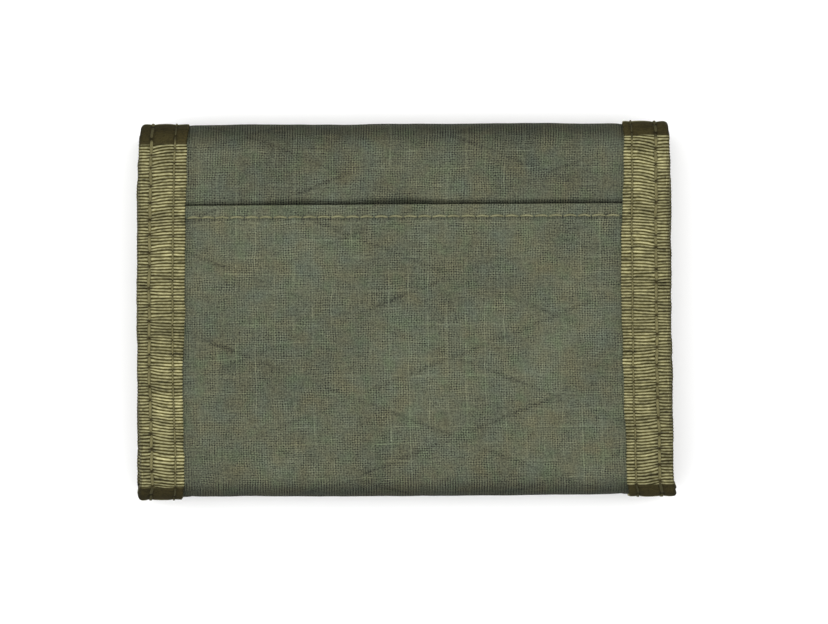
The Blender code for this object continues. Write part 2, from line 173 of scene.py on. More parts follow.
TRACE = trace()
KNOTS = np.concatenate([[0], np.cumsum([step[1] for step in TRACE])])
KNOTS -= KNOTS[4] + HALF - LOWER_RADIUS  # s = 0 where the centre panel crosses y = 0
FREE_FLAP, FLAP_CREASE, SPINE_LOW, SPINE_HIGH, LOW_CREASE, HIGH_CREASE = KNOTS[:6]
UPPER_START, UPPER_END, INNER_CREASE, FREE_INNER = KNOTS[6:]
LOW_MIDDLE = (SPINE_LOW + SPINE_HIGH) / 2
HIGH_MIDDLE = (UPPER_START + UPPER_END) / 2


TAPE_CHAMFER, SHEET_CHAMFER = 0.5, 0.45  # 0 rolls a crease round, 1 folds it flat
TIGHTEST = 0.4  # the smallest radius a layer bends to


def place(x, s, depth, chamfer=TAPE_CHAMFER):
    """Row-frame position, in metres."""
    x, s, depth = np.broadcast_arrays(*[np.asarray(v, float) for v in (x, s, depth)])
    y, z = np.zeros(s.shape), np.zeros(s.shape)
    for i, (kind, length, start, *more) in enumerate(TRACE):
        first, last = KNOTS[i], KNOTS[i + 1]
        low = -np.inf if i == 0 else first
        high = np.inf if i == len(TRACE) - 1 else last
        here = (s >= low) & (s < high)
        if kind == "line":
            run, out = more
            along = s - first
            py = start[0] + run[0] * along - out[0] * depth
            pz = start[1] + run[1] * along - out[1] * depth
        else:
            radius, out_0, out_1 = more
            t = unit((s - first) / length)
            reach = np.maximum(radius - depth, TIGHTEST)
            part_0 = (1 - chamfer) * np.cos(t * QUARTER) + chamfer * (1 - t)
            part_1 = (1 - chamfer) * np.sin(t * QUARTER) + chamfer * t
            py = start[0] + reach * (out_0[0] * part_0 + out_1[0] * part_1)
            pz = start[1] + reach * (out_0[1] * part_0 + out_1[1] * part_1)
        y, z = np.where(here, py, y), np.where(here, pz, z)
    return settle(x, y, z)


# The strip's four zones, one crease each: the two bodies it joins and the crease's ends in (y, z)
LOW_Y, HIGH_Y = -HALF + LOWER_RADIUS, HALF - UPPER_RADIUS
BENDS = {
    "flap": ("outer_flap", "lower_fold", (LOW_Y, 0), (-HALF, LOWER_RADIUS)),
    "low": ("lower_fold", "centre", (-HALF, THICK - LOWER_RADIUS), (LOW_Y, THICK)),
    "high": ("centre", "upper_fold", (HIGH_Y, THICK), (HALF, THICK - UPPER_RADIUS)),
    "inner": ("upper_fold", "inner_flap", (HALF, INNER_Z + UPPER_RADIUS), (HIGH_Y, INNER_Z)),
}
ZONE_BODIES = {"flap": ["outer_flap", "lower_fold"], "low": ["centre"], "high": ["upper_fold"],
               "inner": ["inner_flap"]}  # whose cloth each zone's pieces stand for
BEND_SPANS = {
    "flap": (FREE_FLAP, LOW_MIDDLE),
    "low": (LOW_MIDDLE, 0.0),
    "high": (0.0, HIGH_MIDDLE),
    "inner": (HIGH_MIDDLE, FREE_INNER),
}


# Materials ----------------------------------------------------------------------
class Field:
    """A value in a node tree that adds and multiplies like a number."""

    def __init__(self, tree, socket):
        self.tree, self.socket = tree, socket

    def math(self, operation, *others):
        return combine(self.tree, operation, self, *others)

    def __add__(self, other):
        return self.math("ADD", other)

    def __sub__(self, other):
        return self.math("SUBTRACT", other)

    def __rsub__(self, other):
        return combine(self.tree, "SUBTRACT", other, self)

    def __mul__(self, other):
        return self.math("MULTIPLY", other)

    def __truediv__(self, other):
        return self.math("DIVIDE", other)

    __radd__ = __add__
    __rmul__ = __mul__

    def at_least(self, low):
        return self.math("MAXIMUM", low)

    def at_most(self, high):
        return self.math("MINIMUM", high)

    def cosine(self, period, shift=0.0):
        return ((self - shift) * (2 * math.pi / period)).math("COSINE")

    def line(self, period, width, shift=0.0):
        """1 on thin lines that repeat every period, 0 between them."""
        away = (self - shift).math("PINGPONG", period / 2)
        return (1 - (away / width).at_most(1.0)).math("SMOOTH_MIN", 1.0, 0.1)


def plug(tree, socket, value):
    if isinstance(value, Field):
        tree.links.new(value.socket, socket)
    else:
        socket.default_value = value


def combine(tree, operation, *values):
    node = tree.nodes.new("ShaderNodeMath")
    node.operation = operation
    for socket, value in zip(node.inputs, values):
        plug(tree, socket, value)
    return Field(tree, node.outputs[0])


def axes(tree, vector):
    parts = tree.nodes.new("ShaderNodeSeparateXYZ")
    tree.links.new(vector, parts.inputs[0])
    return [Field(tree, output) for output in parts.outputs]


class Look:
    """A Principled material whose patterns read the cloth's own millimetres."""

    def __init__(self, name, roughness=0.7, metallic=0.0, sheen=0.0, specular=0.5):
        self.material = bpy.data.materials.new(name)
        self.material.use_nodes = True
        self.tree = self.material.node_tree
        self.shader = self.tree.nodes["Principled BSDF"]
        values = {"Roughness": roughness, "Metallic": metallic, "Specular IOR Level": specular,
                  "Sheen Weight": sheen, "Sheen Roughness": 0.4}
        for socket, value in values.items():
            self.shader.inputs[socket].default_value = value
        self.vector = self.attribute("cloth").outputs["Vector"]
        self.u, self.v, _ = axes(self.tree, self.vector)
        self.shade = Field(self.tree, self.attribute("shade").outputs["Fac"])

    def attribute(self, name):
        node = self.tree.nodes.new("ShaderNodeAttribute")
        node.attribute_name = name
        return node

    def noise(self, size, detail=2.0, stretch=(1, 1, 1), shift=0.0):
        """Noise centred on 0, with features of about size millimetres."""
        scaled = self.tree.nodes.new("ShaderNodeVectorMath")
        scaled.operation = "MULTIPLY_ADD"
        self.tree.links.new(self.vector, scaled.inputs[0])
        scaled.inputs[1].default_value = stretch
        scaled.inputs[2].default_value = (shift, shift, shift)
        texture = self.tree.nodes.new("ShaderNodeTexNoise")
        texture.inputs["Scale"].default_value = 1 / size
        texture.inputs["Detail"].default_value = detail
        self.tree.links.new(scaled.outputs[0], texture.inputs["Vector"])
        return Field(self.tree, texture.outputs["Fac"]) - 0.5

    def mix(self, amount, first, second):
        node = self.tree.nodes.new("ShaderNodeMix")
        node.data_type = "RGBA"
        plug(self.tree, node.inputs[0], amount)
        for socket, value in ((node.inputs[6], first), (node.inputs[7], second)):
            plug(self.tree, socket, value if isinstance(value, Field) else (*value, 1.0))
        return Field(self.tree, node.outputs[2])

    def paint(self, colour, strength):
        """Base colour times a brightness."""
        node = self.tree.nodes.new("ShaderNodeVectorMath")
        node.operation = "SCALE"
        if isinstance(colour, Field):
            self.tree.links.new(colour.socket, node.inputs[0])
        else:
            node.inputs[0].default_value = colour
        plug(self.tree, node.inputs["Scale"], strength)
        self.tree.links.new(node.outputs[0], self.shader.inputs["Base Color"])

    def relief(self, height):
        """Bump of a height in millimetres."""
        node = self.tree.nodes.new("ShaderNodeBump")
        node.inputs["Distance"].default_value = MM
        plug(self.tree, node.inputs["Height"], height)
        self.tree.links.new(node.outputs[0], self.shader.inputs["Normal"])

    def rough(self, value):
        plug(self.tree, self.shader.inputs["Roughness"], value)


# The ripstop's heavier threads, and the slanted plies under it, in millimetres
GRID_U, GRID_V, THREAD_WIDE = 4.5, 4.0, 0.22
PLY_SLOPE, PLY_PITCH, PLY_WIDE = 9.5 / 24.0, 19.0, 0.75


def ripstop_look(name, base, ply_shift, grid_shift):
    """Coated plain weave with a heavier thread every few millimetres, over a diamond ply."""
    look = Look(name, roughness=0.7, sheen=0.03, specular=0.18)
    u = look.u + look.noise(7.0) * 1.1 + look.noise(1.5, shift=13.0) * 0.25
    v = look.v + look.noise(7.0, shift=9.0) * 1.1 + look.noise(1.5, shift=15.0) * 0.25
    weave = (u.cosine(0.58) + v.cosine(0.54)) * 0.85 + u.cosine(0.76) * v.cosine(0.72) * 0.55
    shown_u = (look.noise(8.0, 3.0, shift=3.0) * 8.0 + 0.45).at_least(0.05)
    shown_v = (look.noise(8.0, 3.0, shift=5.0) * 8.0 + 0.35).at_least(0.05)
    threads_u = u.line(GRID_U, THREAD_WIDE, grid_shift[0]) * shown_u
    threads_v = v.line(GRID_V, THREAD_WIDE, grid_shift[1]) * shown_v
    threads = threads_u.at_least(threads_v)
    bend = look.noise(12.0, shift=2.0) * 0.8
    rising = (v - u * PLY_SLOPE + bend).line(PLY_PITCH, PLY_WIDE, ply_shift[0])
    falling = (v + u * PLY_SLOPE + bend).line(PLY_PITCH, PLY_WIDE, ply_shift[1])
    ply = rising.at_least(falling) * (look.noise(13.0, shift=7.0) * 5.0 + 0.6).at_least(0.0)
    grain = look.noise(0.4, 1.0) * 2.0 + look.noise(1.3, 3.0, shift=4.0) * 0.3
    slubs = look.noise(0.4, 1.0, (0.1, 1, 1), 6.0) + look.noise(0.4, 1.0, (1, 0.1, 1), 8.0)
    cloud = look.noise(26.0, 1.0, shift=1.0) * 0.6 + look.noise(8.0, 2.0, shift=21.0) * 0.26
    drawn = look.u.cosine(0.62) * ((1.0 - look.shade) * 1.2).at_most(0.4)
    uneven = look.noise(3.0, 2.0, shift=17.0) * 1.2 + 0.27
    tone = weave * uneven + grain + slubs * 0.7 + cloud + threads * 0.44 - ply * 0.25 + drawn + 0.99
    warm, cool, green = ([c * k for c, k in zip(base, by)]
                         for by in ((1.1, 0.99, 0.88), (0.91, 1.0, 1.12), (0.9, 1.06, 0.94)))
    hue = look.mix(look.noise(6.0, 3.0, shift=11.0) * 2.0 + 0.5, cool, warm)
    hue = look.mix((look.noise(4.5, 2.0, shift=23.0) * 3.0).at_least(0.0), hue, green)
    look.paint(hue, tone.at_least(0.1) * look.shade)
    look.relief(weave * 0.022 + threads * 0.03 - ply * 0.06 + look.noise(1.0, 3.0) * 0.05)
    look.rough(look.noise(3.0) * 0.2 + 0.7)
    return look.material


def grosgrain_look(name):
    """Ribbed binding tape. v counts along the tape, with the pull of the stitches in it."""
    look = Look(name, roughness=0.7, specular=0.08)
    rib = look.v.cosine(RIB) * 0.5 + 0.5
    # Where the shade attribute runs low, in the fold bands, the ribs fade and the colour turns a
    # flat brown: painted shade of the folds.
    plain = ((0.5 - look.shade) * 6.0).at_least(0.0).at_most(1.0)
    rib = rib * (1.0 - plain) + plain * 0.45
    yarn = look.noise(0.5, 2.0, (0.5, 1, 1)) + look.noise(0.9, 1.0, (0.15, 1, 1), 5.0)
    # light and dark are the ribs' own tone plus a painted highlight on the rib tops and painted
    # shade in the gaps; the third colour is the painted shade of the fold bands.
    light, dark, fold_shade_colour = (0.262, 0.246, 0.128), (0.031, 0.025, 0.003), (0.112, 0.092, 0.031)
    colour = look.mix((rib - 0.5) * 1.12 + 0.45 + yarn * 0.3, dark, light)
    colour = look.mix(plain, colour, fold_shade_colour)
    fuzz = look.noise(0.4) * plain * 1.5
    tone = look.noise(2.6, 2.0, shift=3.0) * 0.6 + yarn * (1.5 - plain * 0.9) + fuzz + 1.0
    look.paint(colour, tone.at_least(0.15) * look.shade)
    look.relief(rib * 0.05 + yarn * 0.06)
    look.rough(0.68 - rib * 0.1)
    return look.material


def lining_look(name, base):
    look = Look(name, roughness=0.75, sheen=0.05, specular=0.2)
    u, v = look.u + look.noise(6.0) * 0.8, look.v + look.noise(6.0, shift=9.0) * 0.8
    weave = (u + v).cosine(0.9) * 0.6 + u.cosine(0.55) * v.cosine(0.55)
    slubs = look.noise(0.5, 1.0, (0.1, 1, 1), 6.0) + look.noise(0.5, 1.0, (1, 0.1, 1), 8.0)
    cloud = look.noise(18.0, 3.0, shift=2.0) * 0.5
    tone = weave * 0.13 + look.noise(0.4, 1.0) * 1.0 + slubs * 0.8 + cloud + 1.0
    look.paint(base, tone.at_least(0.2) * look.shade)
    look.relief(weave * 0.03 + look.noise(5.0, 3.0) * 0.5 + look.noise(1.2, 2.0) * 0.08)
    return look.material


def thread_look(name, base):
    look = Look(name, roughness=0.65, specular=0.1)
    twist = (look.u + look.v * 0.8).cosine(0.33)
    tone = twist * 0.16 + look.noise(0.4) * 0.4 + look.noise(2.5, shift=4.0) * 1.2 + 1.05
    look.paint(base, tone * look.shade)
    look.relief(twist * 0.03)
    return look.material


def pile_look(name, base):
    look = Look(name, roughness=0.85, sheen=0.15, specular=0.15)
    tone = look.noise(0.35, 3.0) * 1.3 + look.noise(4.0, 2.0, shift=3.0) * 0.3 + 1.0
    look.paint(base, tone.at_least(0.15) * look.shade)
    look.relief(look.noise(0.3, 3.0, shift=1.0) * 0.2)
    return look.material


def coil_look(name, base):
    look = Look(name, roughness=0.38)
    look.paint(base, look.noise(1.5, 3.0) * 0.5 + 1.0)
    look.relief(look.noise(0.4, 2.0) * 0.02)
    look.rough(look.noise(2.0) * 0.25 + 0.4)
    return look.material


def film_look(name):
    look = Look(name, roughness=0.12)
    look.shader.inputs["Base Color"].default_value = (0.78, 0.8, 0.76, 1.0)
    look.shader.inputs["Alpha"].default_value = 0.28
    look.relief(look.noise(14.0, 2.0) * 0.5)
    return look.material


def metal_look(name):
    """Dark lacquer on zinc, rubbed brighter on its edges. It reads object space, in metres."""
    look = Look(name, roughness=0.34, metallic=1.0)
    coordinates = look.tree.nodes.new("ShaderNodeTexCoord")
    texture = look.tree.nodes.new("ShaderNodeTexNoise")
    texture.inputs["Scale"].default_value = 900.0
    texture.inputs["Detail"].default_value = 4.0
    look.tree.links.new(coordinates.outputs["Object"], texture.inputs["Vector"])
    speckle = Field(look.tree, texture.outputs["Fac"]) - 0.5
    geometry = look.tree.nodes.new("ShaderNodeNewGeometry")
    edge = (Field(look.tree, geometry.outputs["Pointiness"]) - 0.5) * 6.0
    worn = (edge + speckle * 0.8).at_least(0.0).at_most(1.0)
    look.paint(look.mix(worn, (0.075, 0.07, 0.055), (0.24, 0.21, 0.16)), speckle * 0.3 + 1.0)
    look.rough(speckle * 0.25 + 0.34)
    return look.material


OLIVE = (0.0715, 0.077, 0.048)
POCKET_CLOTH = ripstop_look("ripstop_pocket", OLIVE, (3.43, -6.23), (1.2, 0.6))
BASE_CLOTH = ripstop_look("ripstop_base", [c * 0.95 for c in OLIVE], (18.56, 7.64), (1.2, 1.4))
FLAP_CLOTH = ripstop_look("ripstop_flap", OLIVE, (5.0, 11.0), (0.4, 2.1))
TAPE = grosgrain_look("grosgrain")
LINING = lining_look("lining_cloth", (0.046, 0.049, 0.032))
THREAD = thread_look("thread", (0.135, 0.122, 0.055))
HEM_THREAD = thread_look("hem_thread", (0.172, 0.17, 0.095))
PILE = pile_look("hook_and_loop", (0.034, 0.034, 0.021))
COIL = coil_look("zip_coil", (0.034, 0.032, 0.022))
ZIP_TAPE = lining_look("zip_tape", (0.04, 0.039, 0.026))
FILM = film_look("clear_film")
METAL = metal_look("lacquered_metal")


# Meshes -------------------------------------------------------------------------
def grid_faces(rows, columns, first=0):
    i, j = np.meshgrid(np.arange(rows - 1), np.arange(columns - 1), indexing="ij")
    a = first + i * columns + j
    return np.stack([a, a + 1, a + 1 + columns, a + columns], -1).reshape(-1, 4)


def tube_faces(count, rings, sides):
    """Quads of count tubes, each with so many rings of so many points."""
    i, k, j = np.meshgrid(np.arange(count), np.arange(rings - 1), np.arange(sides), indexing="ij")
    base, after = (i * rings + k) * sides, (j + 1) % sides
    faces = np.stack([base + j, base + after, base + sides + after, base + sides + j], -1)
    return faces.reshape(-1, 4)


def mesh_piece(name, points, faces, look, cloth, shade=None):
    """One object out of quads, with its cloth coordinates and shade as attributes."""
    points = np.asarray(points, float).reshape(-1, 3)
    a, b, c, d = (points[faces[:, k]] - points.mean(0) for k in range(4))
    if np.einsum("ij,ij->", a + c, np.cross(c - a, d - b)) < 0:
        faces = faces[:, ::-1]
    points = points.astype(np.float32)
    mesh = bpy.data.meshes.new(name)
    mesh.vertices.add(len(points))
    mesh.vertices.foreach_set("co", points.ravel())
    mesh.loops.add(faces.size)
    mesh.loops.foreach_set("vertex_index", faces.astype(np.int32).ravel())
    mesh.polygons.add(len(faces))
    mesh.polygons.foreach_set("loop_start", np.arange(0, faces.size, 4, dtype=np.int32))
    mesh.update(calc_edges=True)
    mesh.polygons.foreach_set("use_smooth", np.full(len(faces), True))
    vectors = mesh.attributes.new("cloth", "FLOAT_VECTOR", "POINT")
    vectors.data.foreach_set("vector", np.asarray(cloth, np.float32).reshape(-1, 3).ravel())
    values = np.ones(len(points)) if shade is None else shade
    shades = mesh.attributes.new("shade", "FLOAT", "POINT")
    shades.data.foreach_set("value", np.asarray(values, np.float32).ravel())
    mesh.materials.append(look)
    piece = bpy.data.objects.new(name, mesh)
    bpy.context.scene.collection.objects.link(piece)
    return piece


def loose_tubes(name, points, look):
    """Tubes given in the frame's own millimetres instead of along the strip."""
    placed = settle(*np.moveaxis(points, -1, 0))
    return mesh_piece(name, placed, tube_faces(*points.shape[:3]), look, points)


def attach(piece, where, slot, *nodes):
    """Rides on a body; a piece in a crease's zone keeps its place in the frame, unparented. The CAD
    parts in nodes are hidden.
    """
    if where in BENDS:
        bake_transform(piece)
    else:
        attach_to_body(piece, where)
    if nodes:
        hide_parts(*nodes)
    return piece


def slab(name, x, s, outer, inner, look, shade=None, hole=None, open_rows=()):
    """A sheet of cloth between two depths, over the grid x by s. A hole is (x, low s, high s);
    open_rows leaves out the wall at the first (0) or last (-1) row, where the next piece joins."""
    xs, ss = np.meshgrid(x, s)
    rows, columns = xs.shape
    count = rows * columns
    outer, inner = np.broadcast_to(outer, xs.shape), np.broadcast_to(inner, xs.shape)
    top, under = (place(xs, ss, depth, SHEET_CHAMFER).reshape(-1, 3) for depth in (outer, inner))
    faces = grid_faces(rows, columns)
    if hole is not None:
        mid_x, mid_s = xs.ravel()[faces].mean(1), ss.ravel()[faces].mean(1)
        faces = faces[(np.abs(mid_x) > hole[0]) | (mid_s < hole[1]) | (mid_s > hole[2])]
    edges = np.concatenate([faces[:, [k, (k + 1) % 4]] for k in range(4)])
    key = np.sort(edges, 1)
    _, first, uses = np.unique(key[:, 0] * count + key[:, 1], True, return_counts=True)
    rim = edges[first[uses == 1]]
    for row in open_rows:
        rim = rim[~np.all(rim // columns == row % rows, 1)]
    sides = np.stack([rim[:, 1], rim[:, 0], rim[:, 0] + count, rim[:, 1] + count], -1)
    faces = np.concatenate([faces, faces[:, ::-1] + count, sides])
    cloth = np.stack([xs, ss, np.zeros(xs.shape)], -1).reshape(-1, 3)
    shades = None if shade is None else np.concatenate([shade.ravel()] * 2)
    return mesh_piece(name, np.concatenate([top, under]), faces, look, np.concatenate([cloth] * 2),
                      shades)


def steps(start, end, size, *close):
    """Positions from start to end, with rows gathered near the ends named in close."""
    count = max(2, int(round(abs(end - start) / size)) + 1)
    found = list(np.linspace(start, end, count))
    for edge in close:
        inward = 1 if edge == start else -1
        found += [edge + inward * away for away in (0.04, 0.12, 0.25, 0.4)]
    return np.array(sorted(found))


def closing(s, *ends, radius=1.1):
    """1 along a strip, falling to nearly 0 in a quarter circle at the free ends."""
    value = 1.0
    for end in ends:
        away = unit(np.abs(s - end) / radius)
        value = value * np.sqrt(np.maximum(1 - (1 - away) ** 2, 0.0004))
    return value


# Stitches -----------------------------------------------------------------------
# Along one thread: the rings' places, their height over the cloth and their thickness
SPAN = np.array([0.0, 0.07, 0.25, 0.5, 0.75, 0.93, 1.0])
RISE = np.array([-0.22, -0.02, 0.13, 0.17, 0.13, -0.02, -0.22])
GIRTH = np.array([0.55, 0.85, 1.0, 1.0, 1.0, 0.85, 0.55])
THREAD_SIDES = 8


def stitches(name, start, end, depth, look, wide, tall, face, seed, arch=0.0):
    """Threads from hole to hole. Start and end are rows of (x, s), depth(x, s) the surface they
    lie on, and face 1 puts them on the outer side of it, -1 on the inner side."""
    start, end = np.asarray(start, float), np.asarray(end, float)
    line = start[:, None] + (end - start)[:, None] * SPAN[None, :, None]
    wander = waves(line[..., 0] * 3, line[..., 1], 1.6, seed) * 0.07
    x, s = line[..., 0] + wander, line[..., 1] + wander + arch * np.sin(np.pi * SPAN)
    height = RISE[None] * (0.85 + 0.4 * hashed(start[:, 1:], start[:, :1], seed))
    level = depth(x, s) - height * face
    middle = place(x, s, level)
    along = np.gradient(middle, axis=1)
    along /= np.linalg.norm(along, axis=-1, keepdims=True)
    out = place(x, s, level - 0.2 * face) - middle
    out -= (out * along).sum(-1, keepdims=True) * along
    out /= np.maximum(np.linalg.norm(out, axis=-1, keepdims=True), 1e-9)
    across = np.cross(along, out)
    turn = np.arange(THREAD_SIDES) * 2 * np.pi / THREAD_SIDES
    points = middle[:, :, None] + GIRTH[None, :, None, None] * MM * (
        across[:, :, None] * (wide * np.cos(turn))[None, None, :, None]
        + out[:, :, None] * (tall * np.sin(turn))[None, None, :, None]
    )
    zero = np.zeros(points.shape[:3])
    cloth = np.stack([zero + (SPAN * STITCH)[None, :, None], zero + turn * 0.4,
                      zero + np.arange(len(x))[:, None, None] * 7.0], -1)
    # Painted shade on the threads where they cross the fold bands.
    shade = (1 - 0.66 * creased(s))[:, :, None] + zero
    return mesh_piece(name, points, tube_faces(*zero.shape), look, cloth, shade)


def even_holes(start, end, pitch, seed, wobble=0.0):
    """Hole positions along a row, with a seamstress's unevenness."""
    count = max(1, int(round((end - start) / pitch)))
    holes = np.linspace(start, end, count + 1)
    holes[1:-1] += (hashed(np.arange(1, count), seed, seed) - 0.5) * wobble
    return holes


# Binding tape -------------------------------------------------------------------
# Depths of the tapes' faces along the strip, in millimetres, at the places in CREASE_ROWS
CREASE_ROWS = [FREE_FLAP, -66, -61, -55, -53, -48.4, -46.4, -40.5, -35.5, 35, 40, 46.6, 48, 54.6,
               59, FREE_INNER]
LEFT_INSIDE = [4.8, 4.8, 2.6, 2.5, 3.4, 3.4, 2.5, 2.6, 5.9, 5.9, 2.6, 2.3, 2.3, 2.4, 3.4, 3.4]
SHELL_INSIDE = [1.7, 1.7, 1.45, 1.45, 1.7, 1.7, 1.45, 1.5, 2.3, 2.3, 2.4, 2.3, 2.3, 2.4, 3.4, 3.4]
LINING_OUTSIDE = [1.9, 1.9, 1.55, 1.55, 1.9, 1.9, 1.55, 1.6, 2.5, 2.5, 2.45] + [2.4] * 5
LINING_INSIDE = [4.8, 4.8, 2.6, 2.5, 3.6, 3.6, 2.5, 2.6, 5.9, 5.9, 3.4] + [3.3] * 5
LINING_TAPE_END = 39.4
TAPE_THICK = 0.42
WRAP = 1.0  # how far the tape's rounded edge reaches in from the side
# Per row: how far a thread wanders sideways, its gap to the next, its width and height
ROW_THREADS = ((0.35, 0.3, 0.36, 0.2), (0.1, 0.12, 0.22, 0.14))
HOLES = {
    (side, row): even_holes(FREE_FLAP + 1.2, FREE_INNER - 1.2, pitch, 3 + side + 5 * row, wobble)
    for side in (-1, 1)
    for row, pitch, wobble in ((0, 3.9, 1.5), (1, STITCH, 0.3))
}


def half_width(s, side):
    """How far out the strip's side edge lies, in millimetres."""
    at = [FREE_FLAP, FREE_FLAP + 14, FREE_FLAP + 50, FLAP_CREASE, SPINE_LOW, SPINE_HIGH,
          LOW_CREASE, -20, 12, HIGH_CREASE, UPPER_START, INNER_CREASE, FREE_INNER]
    edges = np.array([FLAP_EDGE] * 6 + [CENTRE_EDGE] * 4 + [INNER_EDGE] * 3)
    less = np.array([0.9, 0.35, 0.3, 0.1, 0.3, 0.4, 0.4, 0.4, 0.5, 0.8, 0.2, 0.1, 0.0])
    return np.interp(s, at, edges - less) + 0.13 * waves(side * 40.0, s, 3.1, 17)


def creased(s):
    """1 in the creases, where the tape is folded flat, 0 on the flats."""
    s = np.asarray(s, float)
    value = np.zeros(s.shape)
    for low, high in ((FLAP_CREASE, SPINE_LOW), (SPINE_HIGH, LOW_CREASE),
                      (HIGH_CREASE, UPPER_START), (UPPER_END, INNER_CREASE)):
        value = np.maximum(value, unit((s - low) / 0.5 + 0.5) * unit((high - s) / 0.5 + 0.5))
    return value


def hole_index(s, side, row):
    holes = HOLES[side, row]
    return np.interp(s, holes, np.arange(len(holes)))


def tape_pull(q, s, side):
    """How far the ribs are drawn along the tape by its stitches and its own slack."""
    pull = 0.3 * waves(q * 0.6 + side * 31, s, 7.5, 21)
    drag = unit((7.5 - q) / 4.5) ** 1.3 * (1 + 0.5 * waves(side * 17.0, s, 9.0, 27))
    pull = pull + 0.75 * np.sin(s / 42 * QUARTER) * drag
    for row, (size, centre, width) in enumerate(((0.17, 0.3, 1.3), (0.08, 0.0, 0.9))):
        wave = np.sin(2 * np.pi * hole_index(s, side, row))
        pull = pull + size * wave * bump(q, ROWS[side][row] + centre, width)
    return pull


def tape_swell(q, s, side):
    """How far the tape's face stands out of its flat, in millimetres."""
    swell = 0.13 * bump(q, 6.1, 2.1) + 0.1 * bump(q, 1.3, 1.1) + 0.05 * bump(q, 10.5, 0.7)
    puckers = waves(q * 0.3 + side * 13, s, 3.4, 5) * 0.17 + waves(q * 1.2, s, 1.5, 8) * 0.04
    swell = swell + puckers * (1 - 0.6 * creased(s)) - 0.15 * creased(s)
    for row, at in enumerate(ROWS[side]):
        index = hole_index(s, side, row)
        near = np.cos(np.pi * index) ** 2
        swell = swell - (0.13 if row == 0 else 0.09) * bump(q, at, 0.62)
        swell = swell - (0.2 if row == 0 else 0.13) * bump(q, at, 0.5) * near**6
    return swell


def fold_shade_band(s, side):
    """Where the tapes get painted shade at the folds: the bands don't end quite where the tape
    turns.
    """
    crease = creased(s)
    left, right = np.maximum(crease, creased(s + 0.8)), np.minimum(crease, creased(s - 1.0))
    return np.where(s > 0, left if side < 0 else right, np.minimum(crease, creased(s + 0.6)))


def tape_shade(q, s, side):
    # behind: painted shadow on the outer flap's tape edge, which peeks out below the upper layers,
    # and painted shade on every tape's outer edge, which curls away.
    behind = 1 - 0.3 * unit((LOW_MIDDLE - s) / 4) * bump(q, 0, 1.4) - 0.14 * bump(q, 0.6, 1.7)
    # patches: painted light and shade of the tape's puckers and their sheen. The fold bands get
    # painted shade too.
    patches = 0.3 * waves(q * 0.2 + side * 23, s, 4.3, 31) + 0.16 * waves(q * 1.1, s, 2.0, 33)
    shade = (1.0 + patches) * (1 - 0.74 * fold_shade_band(s, side)) * behind
    # Painted shade in each row's stitch channel, darkest at the holes.
    for row, at in enumerate(ROWS[side]):
        near = np.cos(np.pi * hole_index(s, side, row)) ** 2
        shade = shade * (1 - (0.2 + 0.68 * near**7) * bump(q, at, 0.55 if row == 0 else 0.34))
    return np.clip(shade, 0.12, 1.4)


TIP_IN = np.array([0.0, 0.015, 0.06, 0.16, 0.3])  # the tip's rounding: away from the edge, and down
TIP_DOWN = np.array([0.46, 0.3, 0.14, 0.04, 0.0])


def fold_section(across, middle, half, reach, columns, step, close=1.0):
    """A tape folded over an edge, from its outer tip round to its inner one: the points'
    distances from the edge, their depths, and 1 where it faces outwards to -1 inwards."""
    leg = (across - 0.3) + (reach - across + 0.3) * np.linspace(0, 1, columns + 1)[None, 1:]
    wrap = np.linspace(0, np.pi, 11)[None, 1:-1]
    turn = half * np.cos(wrap)
    turn_facing = np.clip(turn / np.maximum(half, 0.05), -1, 1)
    down = TIP_DOWN[None] * close
    parts = (
        (across - TIP_IN[None], middle - half + down, 1.0),
        (leg, middle - half, 1.0),
        (reach * (1 - np.sin(wrap) ** 0.85), middle - turn, turn_facing),
        (leg[:, ::-step], middle + half, -1.0),
        (across - TIP_IN[None, ::-1], middle + half - down[:, ::-1], -1.0),
    )
    shapes = [(len(across), part[0].shape[1]) for part in parts]
    full = [[np.broadcast_to(value, shape) for value in part] for part, shape in zip(parts, shapes)]
    return [np.concatenate(values, 1) for values in zip(*full)]


def tape_solid(name, q, depth, facing, lift, put, pick, shut, cloth, shade, close=1.0):
    """A tape's mesh: its outer face, and its inner one on the columns in pick. put(q, depth)
    places points, and the two faces meet at the rows in shut."""
    outer = put(q - lift, depth)
    q, depth, facing = q[:, pick], depth[:, pick], facing[:, pick]
    depth = depth + TAPE_THICK * facing * close
    depth[:, 0] -= 0.2
    depth[:, -1] += 0.2
    inner = put(q + 0.9 * TAPE_THICK * (1 - np.abs(facing)), depth)
    for row in shut:
        inner[row] = outer[row][pick]
    points = np.concatenate([outer, inner[:, ::-1]], 1)
    cloth = np.concatenate([cloth, cloth[:, pick][:, ::-1]], 1)
    # The inner face gets painted shade (0.6).
    shade = np.concatenate([shade, shade[:, pick][:, ::-1] * 0.6], 1)
    return mesh_piece(name, points, tube_faces(1, *points.shape[:2]), TAPE, cloth, shade)


def travelled(*values):
    """Distance gone along the columns."""
    moves = (np.abs(np.diff(value, axis=1, prepend=value[:, :1])) for value in values)
    return np.cumsum(sum(moves), 1)


SIDE_PICK = np.concatenate([[0, 6, 14, 22], np.arange(29, 38), [41, 45, 48, 51]])


